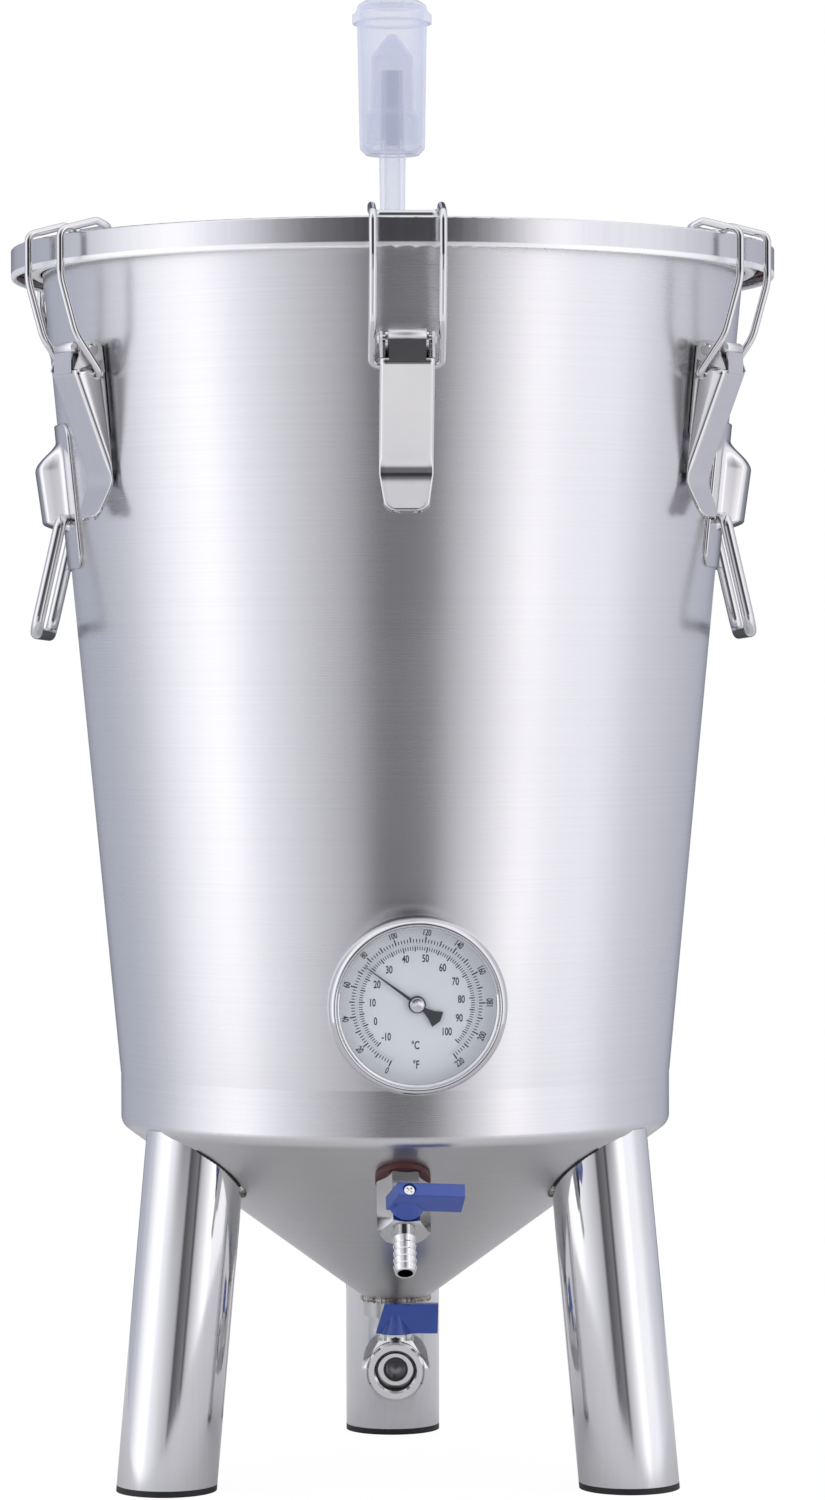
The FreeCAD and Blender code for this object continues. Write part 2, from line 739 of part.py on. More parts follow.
def handle_bracket(side, degrees):
    """Pressed plate that follows the wall, with a hollow pocket for the handle's ends."""
    low = mm("bracket_low")
    high = mm("bracket_high")
    thick = mm("bracket_sheet")
    wide = mm("bracket_half_width")
    gap = 0.05
    corner = 8.0
    blank = block(wide, low, high)
    corners = [edge for edge in blank.Edges if abs(edge.tangentAt(edge.FirstParameter).x) > 0.99]
    blank = blank.makeFillet(corner, corners)
    plate = cone_shell(gap, gap + thick, low - 5, high + 5).common(blank)
    plow = mm("pocket_low")
    phigh = mm("pocket_high")
    pwide = mm("pocket_half_width")
    deep = mm("pocket_depth")

    def pocket(inset):
        top = wall_radius(phigh)
        bottom = wall_radius(plow)
        side_view = Part.makePolygon([
            Vector(bottom - 20, -pwide + inset, plow + inset),
            Vector(bottom + deep - inset - 3, -pwide + inset, plow + inset),
            Vector(bottom + deep - inset, -pwide + inset, plow + inset + 4),
            Vector(bottom + deep + 2.4 - inset, -pwide + inset, phigh - 9.5 - inset * 0.6),
            Vector(top + thick, -pwide + inset, phigh - inset),
            Vector(top - 20, -pwide + inset, phigh - inset),
            Vector(bottom - 20, -pwide + inset, plow + inset),
        ])
        solid = Part.Face(side_view).extrude(Vector(0, 2 * (pwide - inset), 0))
        outer = Part.makeCone(bottom + deep - inset, top + deep - inset, phigh - plow, Vector(0, 0, plow))
        return solid.common(outer)

    hull = pocket(0.0).cut(cone_shell(-60, gap, low - 5, high + 5))
    room = pocket(thick)
    shape = plate.fuse(hull).cut(room)
    pivot = Vector(mm("grip_pivot_out"), 0, mm("grip_pivot_height"))
    eye_radius = mm("grip_radius") + mm("running_gap")
    eye = Part.makeCylinder(eye_radius, 200, pivot - Vector(0, 100, 0), Vector(0, 1, 0))
    shape = shape.cut(eye).removeSplitter()
    shaped("handle_bracket_" + side, shape, azimuth(degrees))


def handle_grip(side, degrees):
    """Round steel loop, its ends turned in through the pocket's cheeks."""
    high = (mm("grip_pivot_out"), mm("grip_pivot_height"))
    low = (mm("grip_bar_out"), mm("grip_bar_height"))
    wide = mm("grip_spread")
    inside = mm("pocket_half_width") - mm("bracket_sheet") - 3.5
    half = [(high[0], inside, high[1]), (high[0], wide, high[1]), (low[0], wide, low[1])]
    other = [(x, -y, z) for x, y, z in reversed(half)]
    bends = [3.6, 8.0]
    shape = rod(half + other, bends + bends[::-1], mm("grip_radius"))
    shaped("handle_grip_" + side, shape, azimuth(degrees))


# --- thermometer, in its own frame ---

def thermometer():
    """Dial thermometer screwed through the wall: case, rim, glass, dial, pointer and probe."""
    well = new_body("thermometer_stem")
    turned(well, [
        ("0", "-62"),
        ("probe_radius", "-62"),
        ("probe_radius", "-16"),
        ("thermo_thread", "-15"),
        ("thermo_thread", "3"),
        ("7.2", "3"),
        ("7.2", "case_back"),
        ("0", "case_back"),
    ])
    hexagon = primitive(well, "AdditivePrism", "Hexagon", Placement(Vector(0, 0, 3), Rotation()),
                        Circumradius="12.7", Height="case_back - 3")
    hexagon.Polygon = 6
    case = new_body("thermometer_case")
    turned(case, [
        ("0", "case_back"),
        ("case_radius - 9", "case_back"),
        ("case_radius", "case_back + 3.5"),
        ("case_radius", "bezel_front - 9"),
        ("case_radius - 1.2", "bezel_front - 9"),
        ("case_radius - 1.2", "case_back + 4.2"),
        ("case_radius - 9.4", "case_back + 1.2"),
        ("0", "case_back + 1.2"),
    ])
    rim = new_body("thermometer_rim")
    turned(rim, [
        ("case_radius + 0.05", "bezel_front - 12.5"),
        ("bezel_radius - 0.6", "bezel_front - 12.5"),
        ("bezel_radius", "bezel_front - 11.5"),
        ("bezel_radius", "bezel_front - 4.6"),
        ("bezel_radius - 0.9", "bezel_front - 1.6"),
        ("bezel_radius - 2.4", "bezel_front"),
        ("bezel_radius - 3.4", "bezel_front - 0.2"),
        ("window_radius + 0.2", "bezel_front - 3.4"),
        ("window_radius", "bezel_front - 5"),
        ("case_radius + 0.05", "bezel_front - 5"),
    ])
    glass = new_body("thermometer_glass")
    turned(glass, [
        ("0", "bezel_front - 6.5"),
        ("case_radius", "bezel_front - 6.5"),
        ("case_radius", "bezel_front - 5"),
        ("0", "bezel_front - 5"),
    ])
    dial = new_body("thermometer_dial")
    turned(dial, [
        ("1.1", "bezel_front - 12.4"),
        ("case_radius - 1.3", "bezel_front - 12.4"),
        ("case_radius - 1.3", "bezel_front - 11.8"),
        ("1.1", "bezel_front - 11.8"),
    ])
    washer = new_body("thermometer_washer")
    turned(washer, [
        ("thermo_thread + 0.1", "0.2"),
        ("12.5", "0.2"),
        ("12.5", "2.95"),
        ("thermo_thread + 0.1", "2.95"),
    ])
    nut = new_body("thermometer_locknut")
    solid = primitive(nut, "AdditivePrism", "Hexagon", Placement(Vector(0, 0, -8), Rotation()),
                      Circumradius="12.5", Height="6")
    solid.Polygon = 6
    primitive(nut, "SubtractiveCylinder", "Bore", Placement(Vector(0, 0, -10), Rotation()),
              Radius="thermo_thread", Height="12")
    for body in (well, case, rim, glass, dial, washer, nut):
        body.Placement = dial_frame
    pointer()


def pointer():
    """Long thin pointer with a flared tail and a round hub cap, on the spindle."""
    body = new_body("thermometer_pointer")
    level = mm("bezel_front") - 10.6
    thick = 0.5
    rest_angle = 143.6
    blade = body.newObject("PartDesign::Pad", "Blade")
    blade.Profile = outline(body, "XY_Plane", [
        ("pointer_reach", "0.12"),
        ("3", "0.75"),
        ("-4", "1.0"),
        ("-8", "2.2"),
        ("-11.8", "4.3"),
        ("-13.2", "0"),
        ("-11.8", "-4.3"),
        ("-8", "-2.2"),
        ("-4", "-1.0"),
        ("3", "-0.75"),
        ("pointer_reach", "-0.12"),
    ], "BladeOutline")
    blade.Profile[0].AttachmentOffset = Placement(Vector(0, 0, level), Rotation())
    blade.Length = thick
    doc.recompute()
    primitive(body, "AdditiveCylinder", "HubDisc", Placement(Vector(0, 0, level - 0.2), Rotation()),
              Radius="4.0", Height="1.2")
    primitive(body, "AdditiveCylinder", "HubCap", Placement(Vector(0, 0, level + 0.8), Rotation()),
              Radius="3.3", Height="1.2")
    spindle_at = Placement(Vector(0, 0, mm("bezel_front") - 14), Rotation())
    primitive(body, "AdditiveCylinder", "Spindle", spindle_at,
              Radius="1.0", Height="4")
    body.Placement = dial_frame * Placement(Vector(), Rotation(Vector(0, 0, 1), rest_angle))


# --- ball valves, each in its own frame: +Z is the way out, +Y the way the stem points ---

SLOT_FLOOR = 0.66


def tap(prefix, frame, base, reach, ball_radius, axis_at):
    """Handle, stem and screw of a small ball valve; the arm lies across the flow when shut."""
    half = mm("tap_half_width")
    tall = mm("tap_height")
    foot = base + 0.25
    slab = Part.makePolygon([
        Vector(-mm("tap_tail"), foot, axis_at - half),
        Vector(reach, foot, axis_at - half),
        Vector(reach + 0.4, foot + tall, axis_at - half),
        Vector(-5.2, foot + tall, axis_at - half),
        Vector(-mm("tap_tail"), foot, axis_at - half),
    ])
    arm = Part.Face(slab).extrude(Vector(0, 0, 2 * half))
    long_edges = [edge for edge in arm.Edges if abs(edge.tangentAt(edge.FirstParameter).x) > 0.99]
    arm = arm.makeFillet(0.6, long_edges)
    up = Vector(0, 1, 0)
    hub = Part.makeCone(mm("tap_hub"), half - 0.6, 10.4, Vector(0, foot, axis_at), up)
    recess_depth = mm("recess_depth")
    handle = arm.fuse(hub)
    square = 2.2
    hole = Part.makeBox(2 * square, tall, 2 * square, Vector(-square, foot - 1, axis_at - square))
    floor = foot + tall - recess_depth
    hole = hole.common(Part.makeBox(60, floor - foot - 1.0, 60, Vector(-30, foot - 1, axis_at - 30)))
    recess = Part.makeCylinder(mm("recess_radius"), recess_depth + 1, Vector(0, floor, axis_at), up)
    shank = Part.makeCylinder(1.6, 6, Vector(0, floor - 5, axis_at), up)
    handle = handle.cut([hole, recess, shank]).removeSplitter()
    shaped(prefix + "_handle", handle, frame)
    peg = square - 0.08
    top = floor - 2.6
    seat = ball_radius - 0.8
    stem = Part.makeCylinder(mm("stem_radius"), foot - 0.6 - seat, Vector(0, seat, axis_at), up)
    peg_foot = foot - 2.6
    stem = stem.fuse(Part.makeBox(2 * peg, top - peg_foot, 2 * peg, Vector(-peg, peg_foot, axis_at - peg)))
    tongue = ball_radius * SLOT_FLOOR + 0.25
    stem = stem.fuse(Part.makeBox(5.6, seat + 0.3 - tongue, 2.4, Vector(-2.8, tongue, axis_at - 1.2)))
    stem = stem.cut(Part.makeCylinder(1.2, 8, Vector(0, top - 6, axis_at), up)).removeSplitter()
    shaped(prefix + "_stem", stem, frame)
    screw = Part.makeCylinder(mm("screw_radius"), 1.5, Vector(0, floor + 0.02, axis_at), up)
    crown = [edge for edge in screw.Edges if abs(edge.BoundBox.YMin - floor - 1.52) < 0.01]
    screw = screw.makeFillet(0.5, crown)
    screw = screw.fuse(Part.makeCylinder(1.15, 7.5, Vector(0, floor - 7.4, axis_at), up))
    for turn in (45, 135):
        cut = Part.makeBox(3.4, 1.1, 0.7, Vector(-1.7, floor + 0.6, -0.35))
        cut.Placement = Placement(Vector(0, 0, axis_at), Rotation(up, turn), Vector())
        screw = screw.cut(cut)
    shaped(prefix + "_screw", screw.removeSplitter(), frame)


def ball_and_seats(prefix, frame, ball_radius, bore, axis_at):
    """Bored ball, shut at rest so its bore lies across, between two plastic seats."""
    centre = Vector(0, 0, axis_at)
    ball = Part.makeSphere(ball_radius, centre)
    ball = ball.cut(Part.makeCylinder(bore, 60, centre - Vector(30, 0, 0), Vector(1, 0, 0)))
    flat = Part.makeBox(40, 20, 40, Vector(-20, ball_radius - 0.9, axis_at - 20))
    slot = Part.makeBox(6.0, 20, 2.7, Vector(-3.0, ball_radius * SLOT_FLOOR, axis_at - 1.35))
    shaped(prefix + "_ball", ball.cut([flat, slot]), frame)
    rings = []
    for side in (-1, 1):
        blank = Part.makeCylinder(ball_radius - 0.7, 3.0, centre + Vector(0, 0, side * (ball_radius - 3.4)),
                                  Vector(0, 0, side))
        blank = blank.cut(Part.makeCylinder(bore, 20, centre - Vector(0, 0, 10)))
        rings.append(blank.cut(Part.makeSphere(ball_radius + mm("running_gap"), centre)))
    shaped(prefix + "_seats", Part.makeCompound(rings), frame)


def chamber(ball_radius, axis_at, base):
    """Room inside a valve body for the ball, its seats and the stem."""
    centre = Vector(0, 0, axis_at)
    room = Part.makeSphere(ball_radius + 0.35, centre)
    room = room.fuse(Part.makeCylinder(ball_radius - 0.65, 2 * ball_radius - 0.7,
                                       centre - Vector(0, 0, ball_radius - 0.35)))
    stem_room = mm("stem_radius") + mm("running_gap")
    return room.fuse(Part.makeCylinder(stem_room, base + 5, centre, Vector(0, 1, 0)))


def gland(prefix, frame, start, top, radius, axis_at):
    """Thin round gland nut that holds the stem seal."""
    ring = Part.makeCylinder(radius, top - start, Vector(0, start, axis_at), Vector(0, 1, 0))
    stem_room = mm("stem_radius") + mm("running_gap")
    ring = ring.cut(Part.makeCylinder(stem_room, 20, Vector(0, start - 5, axis_at), Vector(0, 1, 0)))
    shaped(prefix + "_gland", ring, frame)


def hexagon_bar(flats, low, high):
    """Hexagon bar along Z with one flat facing +Y, its ends chamfered round."""
    corner = flats / math.sqrt(3)
    points = [Vector(corner * math.cos(math.radians(60 * i)), corner * math.sin(math.radians(60 * i)), low)
              for i in range(7)]
    bar = Part.Face(Part.makePolygon(points)).extrude(Vector(0, 0, high - low))
    ease = corner - flats / 2 + 0.3
    slope = ease * 0.55
    profile = Part.makePolygon([
        Vector(0, 0, low),
        Vector(corner + 0.3 - ease, 0, low),
        Vector(corner + 0.3, 0, low + slope),
        Vector(corner + 0.3, 0, high - slope),
        Vector(corner + 0.3 - ease, 0, high),
        Vector(0, 0, high),
        Vector(0, 0, low),
    ])
    return bar.common(Part.Face(profile).revolve(Vector(), Vector(0, 0, 1), 360))


def racking_valve():
    """Small ball valve with a hose barb, screwed through the cone to a turned-down arm inside."""
    start = 3.1
    end = mm("racking_length")
    ball_radius = mm("racking_ball")
    axis_at = mm("racking_axis")
    bore = mm("racking_bore")
    gland_foot = mm("racking_flats") / 2 + 0.02
    thin = 0.8
    solid = hexagon_bar(mm("racking_flats"), start, end)
    solid = solid.fuse(Part.makeCylinder(mm("racking_thread"), start + 12, Vector(0, 0, -12)))
    solid = solid.cut(Part.makeCylinder(bore + 1.2, 90, Vector(0, 0, -30)))
    solid = solid.cut(chamber(ball_radius, axis_at, gland_foot))
    solid = solid.cut(Part.makeCylinder(6.0, 9, Vector(0, 0, end - mm("barb_seat"))))
    shaped("racking_valve_body", solid.removeSplitter(), racking_frame)
    ball_and_seats("racking_valve", racking_frame, ball_radius, bore, axis_at)
    gland("racking_valve", racking_frame, gland_foot, gland_foot + thin, mm("racking_gland"), axis_at)
    tap("racking_valve", racking_frame, gland_foot + thin, mm("racking_tap_reach"), ball_radius, axis_at)
    barb(end, bore)
    washer = Part.makeCylinder(13.0, 2.8, Vector(0, 0, 0.2))
    washer = washer.cut(Part.makeCylinder(mm("racking_thread") + 0.05, 10, Vector(0, 0, -2)))
    shaped("racking_valve_washer", washer, racking_frame)
    nut = hexagon_bar(25.4, -9.0, -3.0).cut(Part.makeCylinder(mm("racking_thread"), 20, Vector(0, 0, -15)))
    shaped("racking_locknut", nut, racking_frame)
    racking_arm()


def barb(end, bore):
    """Hose barb screwed into the valve's outlet, with five ridges."""
    root = mm("barb_radius")
    length = mm("barb_length")
    ridges = 5
    first = 2.6
    pitch = (length - first) / ridges
    inner = end - mm("barb_seat")
    points = [Vector(bore, 0, inner), Vector(5.95, 0, inner), Vector(5.95, 0, end), Vector(root, 0, end)]
    for i in range(ridges):
        low = end + first + i * pitch
        points.append(Vector(root, 0, low))
        points.append(Vector(root + 0.75, 0, low + 0.5))
        points.append(Vector(root, 0, low + pitch - 0.4))
    points.append(Vector(root, 0, end + length))
    points.append(Vector(bore, 0, end + length))
    points.append(points[0])
    face = Part.Face(Part.makePolygon(points))
    shaped("racking_barb", face.revolve(Vector(), Vector(0, 0, 1), 360), racking_frame)


def racking_arm():
    """Bent draw-off tube inside the cone, pushed into the valve's inner end."""
    path = [(0, 0, -2.0), (0, 0, -34.0), (0, -32.0, -34.0)]
    tube = rod(path, [14.0], bore_fit()).cut(rod(path, [14.0], bore_fit() - 0.9))
    for end in ((0, 0, -2.0, 0, 0, 1), (0, -32.0, -34.0, 0, -1, 0)):
        at = Vector(*end[:3])
        way = Vector(*end[3:])
        tube = tube.cut(Part.makeCylinder(bore_fit() - 0.9, 2, at - way, way))
    shaped("racking_arm", tube.removeSplitter(), racking_frame)


def bore_fit():
    """Outside radius of the draw-off tube, a slip fit in the valve."""
    return mm("racking_bore") + 1.15


def drain_valve():
    """Ball valve on the elbow: threaded port to the front, shut at rest."""
    back = mm("drain_back")
    front = mm("drain_front")
    ball_radius = mm("drain_ball")
    axis_at = mm("drain_axis")
    bore = mm("drain_bore")
    ring_start = mm("drain_ring_start")
    gland_foot = mm("drain_flats") / 2 + 0.02
    solid = hexagon_bar(mm("drain_flats"), back + 0.05, ring_start + 2)
    ring = Part.makeCylinder(mm("drain_ring"), front - ring_start, Vector(0, 0, ring_start))
    lips = [edge for edge in ring.Edges if isinstance(edge.Curve, Part.Circle)]
    solid = solid.fuse(ring.makeChamfer(1.0, lips))
    solid = solid.fuse(Part.makeCylinder(10.4, 9.5, Vector(0, 0, back - 9)))
    solid = solid.cut(Part.makeCylinder(bore, 80, Vector(0, 0, back - 20)))
    port = Part.makeCylinder(mm("drain_port"), 10.5, Vector(0, 0, front - 9.5))
    lead_in = Part.makeCone(mm("drain_port"), mm("drain_port") + 1.0, 1.0, Vector(0, 0, front - 1.0))
    solid = solid.cut([port, lead_in, chamber(ball_radius, axis_at, gland_foot)])
    shaped("drain_valve_body", solid.removeSplitter(), drain_frame)
    ball_and_seats("drain_valve", drain_frame, ball_radius, bore, axis_at)
    gland("drain_valve", drain_frame, gland_foot, gland_foot + 2.0, mm("drain_gland"), axis_at)
    tap("drain_valve", drain_frame, gland_foot + 2.0, mm("tap_reach"), ball_radius, axis_at)


def build():
    tank_wall()
    tank_rim()
    tank_cone()
    outlet_elbow()
    legs()
    lid()
    lid_gasket()
    airlock_grommet()
    airlock_body()
    airlock_float()
    airlock_cap()
    latch_bases()
    latch_pins()
    for number in range(LATCHES):
        latch_lever(number)
        latch_bail(number)
    for side, degrees in (("left", -90.0), ("right", 90.0)):
        handle_bracket(side, degrees)
        handle_grip(side, degrees)
    thermometer()
    racking_valve()
    drain_valve()
    doc.recompute()


def check_and_write():
    for item in doc.Objects:
        if "Invalid" in item.State or "Error" in item.State:
            raise RuntimeError(item.Name + " failed")
    for part in parts:
        shape = part.Shape
        if shape.isNull() or not shape.isValid():
            raise RuntimeError(part.Label + " has no valid shape")
        if not shape.Solids or min(solid.Volume for solid in shape.Solids) <= 0:
            raise RuntimeError(part.Label + " is not solid")
    os.makedirs("parts", exist_ok=True)
    for part in parts:
        part.Shape.exportStep("parts/" + part.Label + ".step")
    print(len(parts), "parts written")


build()
check_and_write()
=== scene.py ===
import json
import math

import bpy
import numpy as np
from mathutils import Euler, Matrix, Vector


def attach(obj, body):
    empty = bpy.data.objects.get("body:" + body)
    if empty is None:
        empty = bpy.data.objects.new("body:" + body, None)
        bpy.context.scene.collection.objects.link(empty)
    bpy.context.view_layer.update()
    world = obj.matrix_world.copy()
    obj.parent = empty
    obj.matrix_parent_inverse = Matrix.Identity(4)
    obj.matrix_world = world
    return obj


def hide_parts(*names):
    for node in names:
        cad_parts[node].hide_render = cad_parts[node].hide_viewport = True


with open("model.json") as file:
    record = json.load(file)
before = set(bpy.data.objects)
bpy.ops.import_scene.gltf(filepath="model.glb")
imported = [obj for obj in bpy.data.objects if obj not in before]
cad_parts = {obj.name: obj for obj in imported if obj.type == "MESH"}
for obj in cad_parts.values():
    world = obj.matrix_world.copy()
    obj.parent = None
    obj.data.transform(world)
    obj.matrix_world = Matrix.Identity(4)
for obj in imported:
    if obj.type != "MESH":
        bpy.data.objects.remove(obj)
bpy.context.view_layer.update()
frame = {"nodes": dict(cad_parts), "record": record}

MM = 0.001
mounts = {mount["name"]: mount for mount in frame["record"]["mounts"]}
cad = frame["nodes"]

# --- Viewpoint and room -------------------------------------------------------------------------
# A long lens a little below the middle of the tank, level enough that the tank's sides stay true.
# The room is a white sweep with a tall soft light each side and a narrow dark gap straight ahead.

VIEW_DISTANCE = 2.390
VIEW_SHIFT = 0.009
VIEW_HEIGHT = 0.382
VIEW_DIP = 0.706
VIEW_ROLL = -0.17
LENS, SENSOR = 116.9, 36.0

eye = bpy.data.cameras.new("eye")
eye.sensor_width = SENSOR
eye.lens = LENS
eye.clip_start = 0.1
eye.clip_end = 100.0
camera = bpy.data.objects.new("eye", eye)
bpy.context.collection.objects.link(camera)
look = Euler((math.radians(90 - VIEW_DIP), 0, 0)).to_matrix()
look = look @ Matrix.Rotation(math.radians(VIEW_ROLL), 3, "Z")
camera.location = (VIEW_SHIFT, -VIEW_DISTANCE, VIEW_HEIGHT)
camera.rotation_euler = look.to_euler()
bpy.context.scene.camera = camera
bpy.context.scene.view_settings.view_transform = "Standard"

# brightness of the room seen by the metal, by direction round the object: degrees from the front
ROOM = [
    (-180, (0.06, 0.06, 0.07)),
    (-168, (0.12, 0.13, 0.15)),
    (-156, (0.44, 0.46, 0.54)),
    (-130, (0.52, 0.54, 0.63)),
    (-108, (0.68, 0.69, 0.76)),
    (-88, (1.12, 1.12, 1.18)),
    (-66, (1.48, 1.46, 1.50)),
    (-52, (1.05, 1.05, 1.12)),
    (-30, (0.74, 0.74, 0.78)),
    (-12, (0.50, 0.50, 0.53)),
    (-7, (0.10, 0.10, 0.11)),
    (1, (0.16, 0.16, 0.17)),
    (10, (0.22, 0.22, 0.23)),
    (14, (0.07, 0.07, 0.08)),
    (19, (0.55, 0.54, 0.57)),
    (34, (0.92, 0.91, 0.95)),
    (50, (1.48, 1.45, 1.48)),
    (60, (1.12, 1.11, 1.17)),
    (82, (1.10, 1.10, 1.16)),
    (100, (0.80, 0.80, 0.87)),
    (125, (0.66, 0.66, 0.73)),
    (156, (0.46, 0.48, 0.56)),
    (168, (0.12, 0.13, 0.15)),
    (180, (0.06, 0.06, 0.07)),
]
# what takes over higher up, lower down and in the dark gap ahead, and between which heights of a
# direction (its Z, from -1 to 1) or radians either side of straight ahead it does so
OVERHEAD, OVERHEAD_Z = (1.15, 1.15, 1.2), (0.45, 0.95)
BELOW, BELOW_Z = (0.95, 0.94, 0.96), (-0.34, -0.62)
GAP, GAP_FLOOR_Z, GAP_ROOF_Z, GAP_SIDE = (0.04, 0.04, 0.045), (0.01, 0.06), (0.44, 0.26), (0.86, 0.28)


def link(tree, pairs):
    """Join sockets, each pair being the one that gives and the one that takes."""
    for source, target in pairs:
        tree.links.new(source, target)


def remap(tree, low, high, to_low=0.0, to_high=1.0, eased=False):
    """Map Range node; eased gives it soft ends."""
    made = tree.nodes.new("ShaderNodeMapRange")
    if eased:
        made.interpolation_type = "SMOOTHSTEP"
    made.inputs["From Min"].default_value = low
    made.inputs["From Max"].default_value = high
    made.inputs["To Min"].default_value = to_low
    made.inputs["To Max"].default_value = to_high
    return made


def maths(tree, operation, first=None, second=None):
    """Math node; values are given only for the sockets that nothing feeds."""
    made = tree.nodes.new("ShaderNodeMath")
    made.operation = operation
    for i, value in enumerate((first, second)):
        if value is not None:
            made.inputs[i].default_value = value
    return made


def blend(tree, second=None, mode="MIX"):
    """Colour Mix node, with its second colour set or its factor full when it multiplies."""
    made = tree.nodes.new("ShaderNodeMix")
    made.data_type = "RGBA"
    made.blend_type = mode
    if mode == "MULTIPLY":
        made.inputs["Factor"].default_value = 1.0
    if second is not None:
        made.inputs["B"].default_value = (*second, 1.0)
    return made


def light_room():
    """World whose brightness follows the direction round Z, brighter overhead, with a dark gap ahead
    that only mirrors see; white to the eye."""
    world = bpy.data.worlds.new("room")
    bpy.context.scene.world = world
    world.use_nodes = True
    tree = world.node_tree
    tree.nodes.clear()
    where = tree.nodes.new("ShaderNodeTexCoord")
    split = tree.nodes.new("ShaderNodeSeparateXYZ")
    ahead = maths(tree, "MULTIPLY", None, -1.0)
    turn = maths(tree, "ARCTAN2")
    scale = remap(tree, -math.pi, math.pi)
    ramp = tree.nodes.new("ShaderNodeValToRGB")
    stops = ramp.color_ramp.elements
    stops[0].color = (*ROOM[0][1], 1.0)
    stops[1].color = (*ROOM[-1][1], 1.0)
    for degrees, colour in ROOM[1:-1]:
        stops.new((degrees + 180) / 360).color = (*colour, 1.0)
    height = remap(tree, *OVERHEAD_Z, eased=True)
    over = blend(tree, OVERHEAD)
    depth = remap(tree, *BELOW_Z, eased=True)
    under = blend(tree, BELOW)
    side = maths(tree, "ABSOLUTE")
    near = remap(tree, *GAP_SIDE, eased=True)
    floor_edge = remap(tree, *GAP_FLOOR_Z)
    roof_edge = remap(tree, *GAP_ROOF_Z)
    level = maths(tree, "MULTIPLY")
    gap = maths(tree, "MULTIPLY")
    mirror = maths(tree, "MULTIPLY")
    dark = blend(tree, GAP)
    seen = tree.nodes.new("ShaderNodeLightPath")
    lit = tree.nodes.new("ShaderNodeBackground")
    white = tree.nodes.new("ShaderNodeBackground")
    white.inputs["Color"].default_value = (1.0, 1.0, 1.0, 1.0)
    pick = tree.nodes.new("ShaderNodeMixShader")
    out = tree.nodes.new("ShaderNodeOutputWorld")
    link(tree, [
        (where.outputs["Generated"], split.inputs[0]),
        (split.outputs["X"], turn.inputs[0]),
        (split.outputs["Y"], ahead.inputs[0]),
        (ahead.outputs[0], turn.inputs[1]),
        (turn.outputs[0], scale.inputs["Value"]),
        (scale.outputs["Result"], ramp.inputs["Fac"]),
        (split.outputs["Z"], height.inputs["Value"]),
        (height.outputs["Result"], over.inputs["Factor"]),
        (ramp.outputs["Color"], over.inputs["A"]),
        (split.outputs["Z"], depth.inputs["Value"]),
        (depth.outputs["Result"], under.inputs["Factor"]),
        (over.outputs["Result"], under.inputs["A"]),
        (turn.outputs[0], side.inputs[0]),
        (side.outputs[0], near.inputs["Value"]),
        (split.outputs["Z"], floor_edge.inputs["Value"]),
        (split.outputs["Z"], roof_edge.inputs["Value"]),
        (floor_edge.outputs[0], level.inputs[0]),
        (roof_edge.outputs[0], level.inputs[1]),
        (near.outputs[0], gap.inputs[0]),
        (level.outputs[0], gap.inputs[1]),
        (gap.outputs[0], mirror.inputs[0]),
        (seen.outputs["Is Glossy Ray"], mirror.inputs[1]),
        (mirror.outputs[0], dark.inputs["Factor"]),
        (under.outputs["Result"], dark.inputs["A"]),
        (dark.outputs["Result"], lit.inputs["Color"]),
        (seen.outputs["Is Camera Ray"], pick.inputs["Fac"]),
        (lit.outputs[0], pick.inputs[1]),
        (white.outputs[0], pick.inputs[2]),
        (pick.outputs[0], out.inputs["Surface"]),
    ])


light_room()


FLOOR_RADIUS = 0.72
FLOOR_SIDES = 96
FLOOR_SHADE = 0.72
FLOOR_GLOW, FLOOR_GLOW_SHARE = 1.06, 0.9


def floor_sheet():
    """Round pale floor at the feet, matt, almost white to the eye; small enough that the wall looks
    past it."""
    turns = np.linspace(0, 2 * math.pi, FLOOR_SIDES, endpoint=False)
    rim = np.column_stack([np.cos(turns), np.sin(turns), np.zeros(FLOOR_SIDES)]) * FLOOR_RADIUS
    mesh = bpy.data.meshes.new("floor")
    mesh.from_pydata(rim.tolist(), [], [tuple(range(FLOOR_SIDES))])
    floor = bpy.data.objects.new("floor", mesh)
    bpy.context.collection.objects.link(floor)
    paper = bpy.data.materials.new("floor_paper")
    paper.use_nodes = True
    tree = paper.node_tree
    tree.nodes.clear()
    matt = tree.nodes.new("ShaderNodeBsdfDiffuse")
    matt.inputs["Color"].default_value = (FLOOR_SHADE, FLOOR_SHADE, FLOOR_SHADE, 1.0)
    glow = tree.nodes.new("ShaderNodeEmission")
    glow.inputs["Color"].default_value = (1.0, 1.0, 1.0, 1.0)
    glow.inputs["Strength"].default_value = FLOOR_GLOW
    seen = tree.nodes.new("ShaderNodeLightPath")
    part = maths(tree, "MULTIPLY", None, FLOOR_GLOW_SHARE)
    pick = tree.nodes.new("ShaderNodeMixShader")
    out = tree.nodes.new("ShaderNodeOutputMaterial")
    link(tree, [
        (seen.outputs["Is Camera Ray"], part.inputs[0]),
        (part.outputs[0], pick.inputs["Fac"]),
        (matt.outputs[0], pick.inputs[1]),
        (glow.outputs[0], pick.inputs[2]),
        (pick.outputs[0], out.inputs["Surface"]),
    ])
    mesh.materials.append(paper)


floor_sheet()

# --- Brushed steel: tank wall and lid -----------------------------------------------------------
# The wall is rolled from thin stainless sheet, seam-welded up the back, and brushed round the tank,
# so its grain runs level. The lid is spun from the same sheet; its skirt is brushed up and down.

